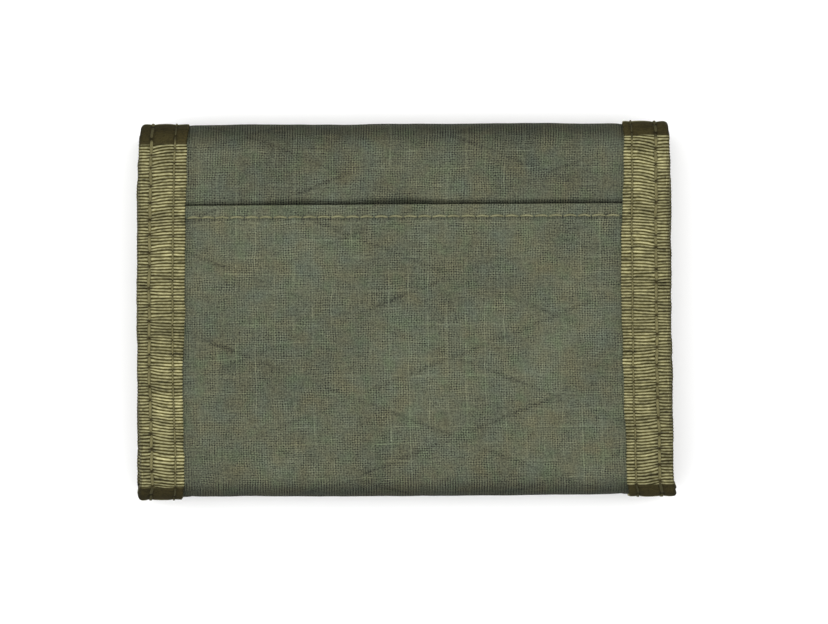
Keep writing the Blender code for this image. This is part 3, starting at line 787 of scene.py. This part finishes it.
def side_strip(name, s, side, outside, inside, width, ends):
    """Tape folded over the strip's side edge, from depth outside to depth inside."""
    s = s[:, None]
    top, under = outside(s), inside(s)
    middle, close = (top + under) / 2, closing(s, *ends)
    half = (under - top) / 2 * close
    reach = np.minimum((under - top) / 2, WRAP) * (0.35 + 0.65 * close)
    jag = 0.11 * np.cos(2 * np.pi * (s + tape_pull(TAPE_WIDE, s, side)) / RIB)
    across = width(s) + 0.18 * waves(side * 7.0, s, 4.5, 41) + jag
    q, depth, facing = fold_section(across, middle, half, reach, 24, 2, close)
    pull = tape_pull(q, s, side)
    ribs = 0.05 * np.cos(2 * np.pi * (s + pull) / RIB) * (1 - 0.5 * creased(s))
    depth = depth - facing * (tape_swell(q, s, side) + ribs) * close
    lift = (1 - np.abs(facing)) * (ribs + 0.06 * waves(depth, s, 1.5, 43))
    edge = half_width(s, side)
    cloth = np.stack([travelled(q, depth), s + pull, facing * 20], -1)
    # The rounded edge, where the tape turns away, gets painted shade (0.8).
    shade = tape_shade(q, s, side) * np.where(np.abs(facing) < 0.9, 0.8, 1.0)
    shut = [row for row in (0, -1) if any(abs(s[row, 0] - end) < 1e-6 for end in ends)]
    put = lambda q, depth: place(side * (edge - q), s, depth)
    return tape_solid(name, q, depth, facing, lift, put, SIDE_PICK, shut, cloth, shade, close)


def rows_between(low, high, size=RIB / 4):
    return np.linspace(low, high, max(3, int(round((high - low) / size)) + 1))


def knots(values):
    return lambda s: np.interp(s, CREASE_ROWS, values)


def tape_face(side, level, face):
    """Depth of a tape's face under a stitch, from the depth of that leg."""
    return lambda x, s: level(s) - face * tape_swell(half_width(s, side) - np.abs(x), s, side)


def tape_stitches(name, side, low, high, level, face):
    """The two rows of stitches along one leg of a tape, between two places on the strip."""
    made = []
    for row, (at, (slip, gap, wide, tall)) in enumerate(zip(ROWS[side], ROW_THREADS)):
        holes, following = HOLES[side, row][:-1], HOLES[side, row][1:]
        keep = (holes >= low - 0.01) & (holes < high)
        holes, following = holes[keep], following[keep]
        if not len(holes):
            continue
        slack = (hashed(holes, side, 3) - 0.5) * slip
        x0 = side * (half_width(holes, side) - at) + slack
        x1 = side * (half_width(following, side) - at) - slack * 0.6
        made.append(stitches(f"{name}_{row + 1}", np.stack([x0, holes + gap], -1),
                             np.stack([x1, following - gap], -1), tape_face(side, level, face),
                             THREAD, wide, tall, face, 5 + row))
    return made


def left_wide(s):
    return np.interp(s, [-42, -20, 0, 38], [10.5, 10.6, 11.3, 11.35])


def right_wide(s):
    return np.interp(s, [-42, -20, 8, 38], [11.0, 11.2, 11.55, 10.7])


def lining_wide(s):
    return TAPE_WIDE - 0.4


def face_level(s):
    return 0 * s


# Each side tape: its side, the depths of its two faces, its width, where it ends
SIDE_TAPES = {
    "left": (-1, face_level, knots(LEFT_INSIDE), left_wide, FREE_INNER),
    "right": (1, face_level, knots(SHELL_INSIDE), right_wide, FREE_INNER),
    "lining": (1, knots(LINING_OUTSIDE), knots(LINING_INSIDE), lining_wide, LINING_TAPE_END),
}
TAPE_NODES = {
    "left": {zone: [f"{body}_binding_left" for body in bodies]
             for zone, bodies in ZONE_BODIES.items()},
    "right": {
        "flap": ["outer_flap_shell_binding_right", "lower_fold_shell_binding_right"],
        "low": ["centre_shell_binding_right"],
        "high": ["upper_fold_binding_right"],
        "inner": ["inner_flap_binding_right"],
    },
    "lining": {
        "flap": ["outer_flap_lining_binding_right", "lower_fold_lining_binding_right"],
        "low": ["centre_lining_binding_right"],
        "high": [],
    },
}


def build_side_tapes():
    for zone, (low, high) in BEND_SPANS.items():
        for tape, (side, outside, inside, width, last) in SIDE_TAPES.items():
            if zone not in TAPE_NODES[tape]:
                continue
            top = min(high, last)
            ends = [end for end in (FREE_FLAP, last) if min(abs(end - low), abs(end - top)) < 1e-6]
            strip = side_strip(f"tape_{tape}_{zone}", rows_between(low, top), side, outside, inside,
                               width, ends)
            attach(strip, zone, "tape", *TAPE_NODES[tape][zone])
        right = knots(SHELL_INSIDE if zone == "inner" else LINING_INSIDE)
        right_top = high if zone == "inner" else min(high, LINING_TAPE_END - 1.5)
        for row, side, top, level, face in (
                ("left", -1, high, face_level, 1),
                ("left_inside", -1, high, knots(LEFT_INSIDE), -1),
                ("right", 1, high, face_level, 1),
                ("right_inside", 1, right_top, right, -1)):
            for piece in tape_stitches(f"stitch_{row}_{zone}", side, low, top, level, face):
                attach(piece, zone, "thread")


END_WIDE = 7.0
END_REACH = 53.2
END_SEAM = 4.6  # from the free end to its row of stitches
END_OUTSIDE = 0.05
END_PICK = np.concatenate([[0, 5, 11, 17], np.arange(19, 28), [30, 36, 42, 46]])


def end_swell(q, x):
    sewn = 0.1 * bump(q, END_SEAM, 0.55)
    return 0.12 * bump(q, 1.6, 1.6) + 0.1 * waves(x, q * 0.3, 3.2, 57) - sewn


def end_strip(name, end, inward, inside):
    """Tape folded over the strip's free end; inward is the sign of s away from the end."""
    x = rows_between(-END_REACH, END_REACH)[:, None]
    middle, half = (END_OUTSIDE + inside) / 2, (inside - END_OUTSIDE) / 2
    across = END_WIDE + 0.1 * np.cos(2 * np.pi * x / RIB) + 0.15 * waves(x, 3.0, 4.0, 53)
    q, depth, facing = fold_section(across, middle, half, min(half, WRAP), 14, 1)
    pull = 0.35 * waves(x, q, 4.5, 55 + inward)
    pull = pull + 0.16 * np.sin(2 * np.pi * x / STITCH) * bump(q, END_SEAM, 1.4)
    ribs = 0.05 * np.cos(2 * np.pi * (x + pull) / RIB)
    near = np.cos(np.pi * x / STITCH) ** 2
    swell = end_swell(q, x) - 0.13 * bump(q, END_SEAM, 0.5) * near**6
    tucked = 0.5 * unit((np.abs(x) - 51.0) / 0.5)
    depth = depth - facing * (swell + ribs - tucked)
    cloth = np.stack([travelled(q), x + pull, facing * 20], -1)
    # Painted shade in the stitch channel, darkest at the holes.
    seam = (0.16 + 0.5 * near**8) * bump(q, END_SEAM, 0.35)
    shade = np.clip(1 + 0.2 * waves(x, q * 0.2, 4.3, 59) - seam, 0.2, 1.4)
    lift = (1 - np.abs(facing)) * ribs
    put = lambda q, depth: place(x, end + inward * q, depth)
    return tape_solid(name, q, depth, facing, lift, put, END_PICK, (0, -1), cloth, shade)


def cross_stitches(name, at, depth, seed, face=-1, reach=51.0, look=HEM_THREAD, pitch=STITCH,
                   wide=0.22, tall=0.14, arch=0.0, holes=None):
    """A row of stitches across the strip at a fixed s."""
    holes = even_holes(-reach, reach, pitch, seed, 0.2) if holes is None else holes
    level = np.full(len(holes) - 1, at)
    start, end = np.stack([holes[:-1] + 0.06, level], -1), np.stack([holes[1:] - 0.06, level], -1)
    return stitches(name, start, end, depth, look, wide, tall, face, seed, arch)


# Cloth simulation ---------------------------------------------------------------
SIM_SCALE = 0.01  # the solver sees the cloth ten times life size, in metres
SIM_STEP = 2.0
SIM_HALF = 51.0
SIM_FRAMES = 36
SIM_SHARE = 0.42  # how much of the buckling shows
SIM_LIMIT = 0.4


def simulate(name, low, high, seed):
    """A panel sewn down round its edge with a little too much cloth in it, left to buckle.
    The answer is its rise off the flat, in millimetres, on a grid over x and s."""
    x = np.linspace(-SIM_HALF, SIM_HALF, int(round(2 * SIM_HALF / SIM_STEP)) + 1)
    s = np.linspace(low, high, int(round((high - low) / SIM_STEP)) + 1)
    xs, ss = np.meshgrid(x, s)
    seam = (np.abs(xs) > SIM_HALF - 0.5) | (ss < low + 0.5) | (ss > high - 0.5)
    start = np.where(seam, 0, 0.3 * waves(xs, ss, 12.0, seed, 1))
    points = np.stack([xs, ss, start], -1).reshape(-1, 3) * SIM_SCALE
    mesh = bpy.data.meshes.new(name)
    mesh.from_pydata(points.tolist(), [], grid_faces(*xs.shape).tolist())
    panel = bpy.data.objects.new(name, mesh)
    bpy.context.scene.collection.objects.link(panel)
    pins = panel.vertex_groups.new(name="seam")
    pins.add(np.flatnonzero(seam.ravel()).tolist(), 1.0, "REPLACE")
    cloth = panel.modifiers.new("cloth", "CLOTH")
    settings = cloth.settings
    settings.quality = 8
    settings.mass = 0.25
    settings.tension_stiffness = settings.compression_stiffness = 25.0
    settings.shear_stiffness = 12.0
    settings.bending_stiffness = 3.0
    settings.air_damping = 3.0
    settings.shrink_min = -0.003
    settings.vertex_group_mass = "seam"
    settings.effector_weights.gravity = 0.0
    cloth.collision_settings.use_collision = False
    scene = bpy.context.scene
    cloth.point_cache.frame_start, cloth.point_cache.frame_end = 1, SIM_FRAMES
    for number in range(1, SIM_FRAMES + 1):
        scene.frame_set(number)
    settled = panel.evaluated_get(bpy.context.evaluated_depsgraph_get()).to_mesh()
    found = np.empty(len(points) * 3, np.float32)
    settled.vertices.foreach_get("co", found)
    rise = found.reshape(-1, 3)[:, 2].reshape(xs.shape) / SIM_SCALE
    bpy.data.objects.remove(panel)
    bpy.data.meshes.remove(mesh)
    scene.frame_set(1)
    return x, s, rise


def curve_weights(t):
    """Catmull-Rom weights of the four grid points round a place, t past the second."""
    t2, t3 = t * t, t**3
    return t2 - t / 2 - t3 / 2, 1 - 2.5 * t2 + 1.5 * t3, t / 2 + 2 * t2 - 1.5 * t3, (t3 - t2) / 2


def buckling(x, s):
    """Rise of the simulated panels at any place, joined smoothly between their grid points."""
    x, s = np.broadcast_arrays(np.asarray(x, float), np.asarray(s, float))
    total = np.zeros(x.shape)
    for grid_x, grid_s, rise in PANELS:
        rows, columns = rise.shape
        inside = (np.abs(x) < grid_x[-1]) & (s > grid_s[0]) & (s < grid_s[-1])
        across = np.clip((x - grid_x[0]) / (grid_x[1] - grid_x[0]), 0, columns - 1.001)
        along = np.clip((s - grid_s[0]) / (grid_s[1] - grid_s[0]), 0, rows - 1.001)
        i, j = np.floor(along).astype(int), np.floor(across).astype(int)
        for a, by_row in enumerate(curve_weights(along - i)):
            for b, by_column in enumerate(curve_weights(across - j)):
                at = rise[np.clip(i + a - 1, 0, rows - 1), np.clip(j + b - 1, 0, columns - 1)]
                total = total + by_row * by_column * at * inside
    return SIM_LIMIT * np.tanh(total * SIM_SHARE / SIM_LIMIT)


PANELS = [
    simulate("centre_proxy", LOW_CREASE, MOUTH, 3),
    simulate("top_proxy", MOUTH, HIGH_CREASE, 7),
    simulate("flap_proxy", FREE_FLAP + 6, FLAP_CREASE, 5),
]


# Cloth --------------------------------------------------------------------------
TUCK = 53.4  # how far out the cloth runs under the tapes
GRID = 0.75
SHEET = 0.4
BEHIND_POCKET = 1.75  # the shell's depth under the slip pocket
LIFT_FROM = 15.0  # where the pocket starts to stand off, towards its mouth


def under_tape(x):
    """1 where the tape covers the cloth, 0 in the open."""
    return unit((np.abs(x) - 50.6) / 0.7)


def outer_depth(x, s):
    """Depth of the shell's and slip pocket's outer face."""
    across = unit(1 - (np.abs(x) / 51.5) ** 4)
    flat = 1 - creased(s)
    on_flap = unit((-63 - s) / 6) * unit((s - FREE_FLAP - 6) / 5)
    spine = bump(s, LOW_MIDDLE, 4.0) * 0.22
    bulge = (0.16 + 0.3 * on_flap + spine) * across * flat
    folds = waves(x, s, 15.0, 61) * 0.13 + waves(x, s * 0.8, 6.0, 63) * 0.06
    beside = bump(np.abs(x), 51.2, 5.0)
    puckers = waves(np.abs(x) * 0.4 + np.sign(x) * 77, s, 2.4, 65) * 0.1 * beside
    depth = SHELL_DEPTH - bulge + folds * (0.35 + 0.65 * flat) * (1 - 0.4 * on_flap) + puckers
    depth = depth - buckling(x, s) + 0.1 * bump(np.abs(x), 51.4, 1.3)
    depth = np.maximum(depth - 0.3 * bump(s, (HIGH_CREASE + INNER_CREASE) / 2, 6.0), 0.03)
    covered = under_tape(x)
    return depth * (1 - covered) + (0.56 + 0.45 * creased(s)) * covered


def lift_at_mouth(x):
    """How far the mouth gapes: least beside the tapes, most a little left of the middle."""
    return 0.18 + 0.5 * bump(x, -4, 24) + 0.12 * bump(x, 33, 12)


def gap_at_mouth(x):
    return 1.05 + 0.95 * bump(x, -2, 9) + 0.7 * bump(x, -25, 8) + 0.3 * bump(x, 36, 9)


HEM_HOLES = even_holes(-51.0, 51.0, STITCH, 9, 0.25)


def at_hem_hole(x):
    return np.cos(np.pi * np.interp(x, HEM_HOLES, np.arange(len(HEM_HOLES)))) ** 2


def pocket_depth(x, s):
    rise = unit((s - LIFT_FROM) / (MOUTH - LIFT_FROM))
    holes = at_hem_hole(x)
    seam = 0.13 * bump(s, HEM_LINE, 0.45) - 0.09 * unit((s - HEM_LINE - 0.2) / 0.5)
    seam = seam + 0.12 * bump(s, HEM_LINE, 0.5) * holes**5
    scallop = 0.06 * (holes - 0.5) * unit((s - HEM_LINE) / 2)
    return outer_depth(x, s) + (seam + scallop - lift_at_mouth(x) * rise**2) * (1 - under_tape(x))


def base_depth(x, s):
    """The shell behind the slip pocket; it comes out to the face above the pocket's mouth."""
    out = ease((s - MOUTH + 0.2) / gap_at_mouth(x))
    shown = outer_depth(x, s) + 0.32 * (1 - unit((s - MOUTH) / 7.0)) ** 2
    covered = under_tape(x)
    tucked = np.where(s < MOUTH + 0.6, 1.1, 0.58 + 0.45 * creased(s))
    return (BEHIND_POCKET * (1 - out) + shown * out) * (1 - covered) + tucked * covered


LINING_DEPTHS = [2.55, 2.55, 1.75, 1.7, 2.5, 2.5, 1.7, 1.75, 3.15, 3.15, 1.6, 1.35, 1.35, 1.35,
                 1.25, 1.25]


def lining_depth(x, s):
    return np.interp(s, CREASE_ROWS, LINING_DEPTHS) + waves(x, s, 12.0, 71) * 0.1


def sheet(name, zone, look, depth, low, high, nodes, shade=None, thick=None, size=GRID,
          hem_start=False, hem_end=False, open_rows=(), hole=None):
    """A cloth over the strip from s low to s high, with rounded folded edges where hemmed."""
    close = ([low] if hem_start else []) + ([high] if hem_end else [])
    s = steps(low, high, size, *close)
    x = np.linspace(-TUCK, TUCK, int(round(2 * TUCK / size)) + 1)
    if hole is not None:
        x = np.array(sorted(set(x) | {-hole[0], hole[0]}))
        s = np.array(sorted(set(s) | {hole[1], hole[2]}))
    xs, ss = np.meshgrid(x, s)
    outer = depth(xs, ss)
    inner = outer + (SHEET if thick is None else thick(ss))
    for at in close:
        away = unit(np.abs(ss - at) / 0.4)
        shrink = (inner - outer) / 2 * (1 - np.sqrt(np.maximum(1 - (1 - away) ** 2, 0)))
        outer, inner = outer + shrink, inner - shrink
    shades = None if shade is None else shade(xs, ss)
    piece = slab(name, x, s, outer, inner, look, shades, hole, open_rows)
    return attach(piece, zone, "shell", *nodes)


def fabric_shade(x, s):
    # Painted shadow along the tapes' inner edges.
    beside = 1 - 0.1 * bump(np.abs(x), 51.6, 2.6)
    # Painted shade where the cloth rolls over the folds, stronger on the lower fold.
    rolled = ease((np.abs(s + 0.4) - 36.6) / 7.6) * unit((56 - np.abs(s)) / 8)
    folded = 1 - np.where(s < 0, 0.52, 0.43) * rolled
    return beside * folded * (1 + 0.05 * waves(x, s, 9.0, 81))


def pocket_shade(x, s):
    # Painted shade at the hem's stitch holes and under its thread.
    seam = bump(s, HEM_LINE - 0.25, 0.3) * (0.22 + 0.5 * at_hem_hole(x) ** 6)
    return fabric_shade(x, s) * (1 - seam)


def hem_thickness(s):
    return np.where(s > HEM_LINE - 0.2, 0.62, SHEET)


def base_shade(x, s):
    # Painted shadow in the gap under the slip pocket's mouth, fading out above it.
    inside = unit((s - MOUTH) / gap_at_mouth(x))
    return fabric_shade(x, s) * (0.38 + 0.1 * waves(x, 0.0, 5.0, 83) + 0.6 * inside**2.2)


def build_shells():
    sheet("pocket_panel", "low", POCKET_CLOTH, pocket_depth, LOW_MIDDLE, MOUTH,
          ["slip_pocket_panel"], pocket_shade, hem_thickness, 0.55, hem_end=True, open_rows=(0,))
    sheet("base_panel", "high", BASE_CLOTH, base_depth, 4.0, HIGH_MIDDLE,
          ["centre_shell", "upper_fold_shell"], base_shade, open_rows=(-1,), size=0.6)
    sheet("flap_panel", "flap", FLAP_CLOTH, outer_depth, FREE_FLAP + 2.2, LOW_MIDDLE,
          ["outer_flap_shell", "lower_fold_shell"], fabric_shade, open_rows=(-1,))
    sheet("inner_panel", "inner", BASE_CLOTH, outer_depth, HIGH_MIDDLE, FREE_INNER - 2.2,
          ["inner_flap_shell"], fabric_shade, open_rows=(0,))
    hem = cross_stitches("hem_stitches", HEM_LINE, pocket_depth, 9, face=1, wide=0.25, tall=0.18,
                         arch=0.3, holes=HEM_HOLES)
    attach(hem, "centre", "thread", "slip_pocket_hem_stitching")


def build_linings():
    joined = {"flap": (-1,), "low": (0, -1), "high": (0, -1), "inner": (0,)}
    for zone, (low, high) in BEND_SPANS.items():
        low = low + 2.4 if zone == "flap" else low
        high = high - 2.4 if zone == "inner" else high
        nodes = [f"{body}_lining" for body in ZONE_BODIES[zone]]
        sheet(f"lining_{zone}", zone, LINING, lining_depth, low, high, nodes, size=1.3,
              open_rows=joined[zone])


# Inside -------------------------------------------------------------------------
def card_depth(layer):
    top = 3.75 + 0.6 * layer
    squeezed = 2.15 + 0.12 * layer

    def depth(x, s):
        rise = (top - squeezed) * ease((s + 40.6) / 5.0)
        return squeezed + rise + waves(x, s, 10.0, 91 + layer) * 0.07

    return depth


def build_cards():
    for layer, mouth in enumerate(CARD_MOUTHS):
        depth = card_depth(layer)
        sheet(f"card_slot_cloth_{layer + 1}", "low", POCKET_CLOTH, depth, -40.2, mouth - 0.2,
              [f"card_slot_{layer + 1}"], size=1.2, hem_end=True)
        row = cross_stitches(f"card_slot_stitches_{layer + 1}", mouth - 2.6,
                             lambda x, s, d=depth: d(x, s) + SHEET, 20 + layer)
        attach(row, "centre", "thread")


def on_flap(y):
    """s of a place on the outer flap, from its y."""
    return FREE_FLAP + FLAP_TIP - y


def on_inner(y):
    """s of a place on the inner flap, from its y."""
    return INNER_CREASE + HALF - UPPER_RADIUS - y


COIL_SIDES, COIL_RADIUS, COIL_PITCH = 6, 0.2, 1.1
COIL_WIDE, COIL_TALL, COIL_REACH = 0.5, 0.4, 49.5


def coil(name, y, z, start):
    """A zip's coil: a monofilament wound along X, from the angle start."""
    turns = 2 * COIL_REACH / COIL_PITCH
    count = int(turns * 14)
    t = np.linspace(0, turns * 2 * np.pi, count)
    centre = np.stack([-COIL_REACH + t * COIL_PITCH / 2 / np.pi, y + COIL_WIDE * np.cos(t + start),
                       z + COIL_TALL * np.sin(t + start)], -1)
    along = np.gradient(centre, axis=0)
    along /= np.linalg.norm(along, axis=1, keepdims=True)
    out = centre - np.stack([centre[:, 0], np.full(count, y), np.full(count, z)], -1)
    out /= np.linalg.norm(out, axis=1, keepdims=True)
    across = np.cross(along, out)
    angle = np.arange(COIL_SIDES) * 2 * np.pi / COIL_SIDES
    points = centre[:, None] + COIL_RADIUS * (out[:, None] * np.cos(angle)[None, :, None]
                                              + across[:, None] * np.sin(angle)[None, :, None])
    return loose_tubes(name, points[None], COIL)


ZIP_DEPTH, ZIP_THICK, ZIP_HALF = 3.72, 0.34, 51.5


def coin_depth(x, s):
    rise = ease((-60.9 - s) / 4.5)
    return 2.15 + 1.6 * rise + waves(x, s, 11.0, 101) * 0.06 * rise


def build_coin_pocket():
    lower, upper = box_mm("coin_zip_lower_tape"), box_mm("coin_zip_upper_tape")
    strip, panel = box_mm("coin_pocket_lower_strip"), box_mm("coin_pocket_panel")
    zip_y = (lower[1][1] + upper[0][1]) / 2
    below = lower[0][1] - 0.1
    above = upper[1][1] + 0.1
    for name, node, low, high, edge in (
            ("coin_strip", "coin_pocket_lower_strip", below, strip[0][1], below - 1.3),
            ("coin_panel", "coin_pocket_panel", panel[1][1], above, above + 1.3)):
        sheet(name, "flap", FLAP_CLOTH, coin_depth, on_flap(low), on_flap(high), [node], size=1.2,
              hem_start=name == "coin_strip", hem_end=name == "coin_panel")
        row = cross_stitches(f"{name}_stitches", on_flap(edge),
                             lambda x, s: coin_depth(x, s) + SHEET, 31, reach=49.5)
        attach(row, "flap", "thread")
    for name, low, high, side in (("lower", lower[0][1], zip_y - 0.35, 1),
                                  ("upper", zip_y + 0.35, upper[1][1], -1)):
        x, s = np.linspace(-ZIP_HALF, ZIP_HALF, 140), np.linspace(on_flap(high), on_flap(low), 9)
        depth = ZIP_DEPTH + 0.03 * waves(*np.meshgrid(x, s), 3.0, 111)
        piece = slab(f"zip_tape_{name}", x, s, depth, depth + ZIP_THICK, ZIP_TAPE)
        attach(piece, "outer_flap", "zip", f"coin_zip_{name}_tape")
        wound = coil(f"zip_tape_{name}_coil", zip_y - side * 0.5, lower[1][2] - 0.62,
                     0.0 if side == 1 else np.pi)
        attach(wound, "outer_flap", "zip")


HOOK_LEVELS = np.array([0.0, 0.35, 0.7, 0.92, 1.0])
HOOK_SWELL = np.array([1.0, 0.8, 0.85, 1.35, 0.6])
HOOK_SIDES, HOOK_RADIUS, HOOK_LEAN = 5, 0.13, 0.25


def hooks(name, x, y, z, height, seed):
    """Small bent stalks standing on a strip."""
    angle = np.arange(HOOK_SIDES) * 2 * np.pi / HOOK_SIDES
    lean_x = (hashed(x, y, seed) - 0.5) * 2 * HOOK_LEAN
    lean_y = (hashed(y, x, seed + 1) - 0.5) * 2 * HOOK_LEAN
    tall = height * (0.75 + 0.25 * hashed(x, y, seed + 2))
    bend = HOOK_LEVELS**2
    centre = np.stack([x[:, None] + lean_x[:, None] * bend, y[:, None] + lean_y[:, None] * bend,
                       z + tall[:, None] * HOOK_LEVELS], -1)
    ring = np.stack([np.cos(angle), np.sin(angle), 0 * angle], -1)
    points = centre[:, :, None] + HOOK_RADIUS * HOOK_SWELL[None, :, None, None] * ring[None, None]
    return loose_tubes(name, points, PILE)


HOOK_DEPTH, HOOK_THICK = 4.12, 0.5
LOOP_DEPTH, LOOP_BACK = 0.32, 0.6


def build_closure():
    low, high = box_mm("hook_strip")
    reach = high[0]
    x, s = np.linspace(-reach, reach, 90), np.linspace(on_flap(high[1]), on_flap(low[1]), 28)
    depth = HOOK_DEPTH + 0.04 * waves(*np.meshgrid(x, s), 6.0, 121)
    piece = slab("hook_base", x, s, depth, depth + HOOK_THICK, PILE)
    attach(piece, "outer_flap", "hook", "hook_strip")
    x, y = np.meshgrid(np.arange(-reach + 1.2, reach - 0.9, 1.0),
                       np.arange(low[1] + 1.1, high[1] - 0.8, 0.95))
    x, y = x.ravel(), y.ravel()
    x = x + (hashed(x, y, 3) - 0.5) * 0.25
    piece = hooks("hooks", x, y, low[2] + 0.2, high[2] - low[2] - 0.25, 7)
    attach(piece, "outer_flap", "hook")

    low, high = box_mm("loop_strip")
    x, s = np.linspace(-reach, reach, 220), np.linspace(on_inner(high[1]), on_inner(low[1]), 60)
    xs, ss = np.meshgrid(x, s)
    edge = np.minimum(unit((reach - np.abs(xs)) / 0.8), unit((10.0 - np.abs(ss - s.mean())) / 0.8))
    fuzz = (0.2 + 0.16 * waves(xs, ss, 0.8, 131, 3)) * edge**0.5
    piece = slab("loop_base", x, s, low[2] - INNER_Z + LOOP_DEPTH - fuzz,
                 np.full(xs.shape, LOOP_BACK), PILE)
    attach(piece, "inner_flap", "hook", "loop_strip")
    for name, on, depth, face, body in (
            ("hook_seam", on_flap, HOOK_DEPTH + HOOK_THICK, -1, "outer_flap"),
            ("loop_seam", on_inner, -LOOP_DEPTH, 1, "inner_flap")):
        for k, y in enumerate((low[1] + 0.7, high[1] - 0.7)):
            row = cross_stitches(f"{name}_{k + 1}", on(y), lambda x, s, d=depth: d + 0 * x, 41 + k,
                                 face, reach - 0.8, pitch=2.9, wide=0.16, tall=0.1)
            attach(row, body, "thread")


WINDOW = (39.0, on_inner(30.0), on_inner(-9.0))  # the opening's half width and its two ends
WINDOW_SEAM = 1.3  # from the opening to the row of stitches round it
FILM_DEPTH, FILM_THICK = 1.95, 0.14


def frame_depth(x, s):
    across = np.minimum(np.abs(x) - WINDOW[0], 3.0)
    along = np.minimum(np.maximum(WINDOW[1] - s, s - WINDOW[2]), 3.0)
    away = np.clip(np.maximum(across, along), 0, 3)
    rise = unit((s - INNER_CREASE - 0.3) / 4)
    sewn = 0.1 * bump(away, WINDOW_SEAM, 0.5)
    return 1.85 + (0.6 + 0.05 * waves(x, s, 9.0, 151) - sewn) * rise


def build_window():
    film, cloth = box_mm("window_film"), box_mm("window_frame")
    x = np.linspace(film[0][0], film[1][0], 60)
    s = np.linspace(on_inner(film[1][1]), on_inner(film[0][1]), 32)
    depth = FILM_DEPTH + 0.05 * waves(*np.meshgrid(x, s), 14.0, 141)
    piece = slab("window_clear_film", x, s, depth, depth + FILM_THICK, FILM)
    attach(piece, "inner_flap", "film", "window_film")
    sheet("window_frame_cloth", "inner", POCKET_CLOTH, frame_depth, on_inner(cloth[1][1]),
          on_inner(cloth[0][1]), ["window_frame"], size=1.0, hole=WINDOW)
    inner_face = lambda x, s: frame_depth(x, s) + SHEET
    side_x, first, last = WINDOW[0] + WINDOW_SEAM, WINDOW[1] - WINDOW_SEAM, WINDOW[2] + WINDOW_SEAM
    for k, at in enumerate((first, last)):
        row = cross_stitches(f"window_seam_{k + 1}", at, inner_face, 51 + k, reach=side_x)
        attach(row, "inner", "thread")
    for k, side in enumerate((-1, 1)):
        holes = even_holes(first, last, STITCH, 53 + k, 0.2)
        across = np.full(len(holes) - 1, side * side_x)
        start = np.stack([across, holes[:-1] + 0.14], -1)
        end = np.stack([across, holes[1:] - 0.14], -1)
        row = stitches(f"window_seam_{k + 3}", start, end, inner_face, HEM_THREAD, 0.22, 0.14, -1,
                       55 + k)
        attach(row, "inner", "thread")


def build_ends():
    for name, node, end, inward, inside, body in (
            ("tape_flap_end", "outer_flap_end_binding", FREE_FLAP, 1, 4.7, "outer_flap"),
            ("tape_inner_end", "inner_flap_end_binding", FREE_INNER, -1, 3.3, "inner_flap")):
        attach(end_strip(name, end, inward, inside), body, "tape", node)
        for leg, face, level in (("outer", 1, END_OUTSIDE), ("inner", -1, inside)):
            row = cross_stitches(
                f"{name}_stitches_{leg}", end + inward * END_SEAM,
                lambda x, s, face=face, level=level: level - face * end_swell(np.abs(s - end), x),
                61, face, STITCH * 14.5, THREAD)
            attach(row, body, "thread")


def build_metal():
    for node in ("zip_slider", "zip_pull"):
        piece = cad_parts[node]
        piece.data.materials.clear()
        piece.data.materials.append(METAL)
        bevel = piece.modifiers.new("edges", "BEVEL")
        bevel.width, bevel.segments, bevel.limit_method = 0.12 * MM, 2, "ANGLE"


# Light and camera ---------------------------------------------------------------
def area_light(name, place_at, size, power):
    light = bpy.data.lights.new(name, "AREA")
    light.shape, light.size, light.size_y, light.energy = "RECTANGLE", size[0], size[1], power
    thing = bpy.data.objects.new(name, light)
    thing.location = place_at
    thing.rotation_mode = "QUATERNION"
    thing.rotation_quaternion = (-Vector(place_at)).to_track_quat("-Z", "Y")
    bpy.context.scene.collection.objects.link(thing)


def build_studio():
    floor_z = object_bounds()[0].z - 0.00002
    points = np.array([[-9, -9, floor_z], [9, -9, floor_z], [9, 9, floor_z], [-9, 9, floor_z]])
    mesh = bpy.data.meshes.new("floor")
    mesh.from_pydata(points.tolist(), [], [(0, 1, 2, 3)])
    floor = bpy.data.objects.new("floor", mesh)
    paper = Look("paper", roughness=0.9, specular=0.1)
    # Bright to the eye, but it throws little light back
    seen = paper.tree.nodes.new("ShaderNodeLightPath")
    grey = Field(paper.tree, seen.outputs["Is Camera Ray"]) * 0.58 + 0.35
    paper.paint((1.0, 1.0, 1.0), grey)
    mesh.materials.append(paper.material)
    bpy.context.scene.collection.objects.link(floor)

    world = bpy.data.worlds.new("studio")
    bpy.context.scene.world = world
    world.use_nodes = True
    tree = world.node_tree
    background = tree.nodes["Background"]
    x, y, z = axes(tree, tree.nodes.new("ShaderNodeTexCoord").outputs["Generated"])
    background.inputs["Color"].default_value = (1.0, 1.0, 1.0, 1.0)
    glow = 0.28 + z.at_least(0.0) * 1.36 + x.math("ABSOLUTE") * 0.28 - y.math("ABSOLUTE") * 0.24
    seen = Field(tree, tree.nodes.new("ShaderNodeLightPath").outputs["Is Camera Ray"])
    plug(tree, background.inputs["Strength"], glow.at_least(0.1) * (1.0 - seen) + seen)
    area_light("left_panel", (-0.75, -0.1, 0.55), (0.7, 0.9), 3.9)
    area_light("right_panel", (0.75, 0.15, 0.6), (0.7, 0.9), 3.3)
    bpy.context.scene.view_settings.view_transform = "Standard"

    lens = bpy.data.cameras.new("camera")
    lens.lens, lens.sensor_width = 200.0, 36.0
    camera = bpy.data.objects.new("camera", lens)
    camera.location = (0.00226, -0.0004, 1.0966)
    camera.rotation_euler = (0, 0, -0.0061)
    bpy.context.scene.collection.objects.link(camera)
    bpy.context.scene.camera = camera


build_shells()
build_linings()
build_side_tapes()
build_ends()
build_cards()
build_coin_pocket()
build_closure()
build_window()
build_metal()
build_studio()
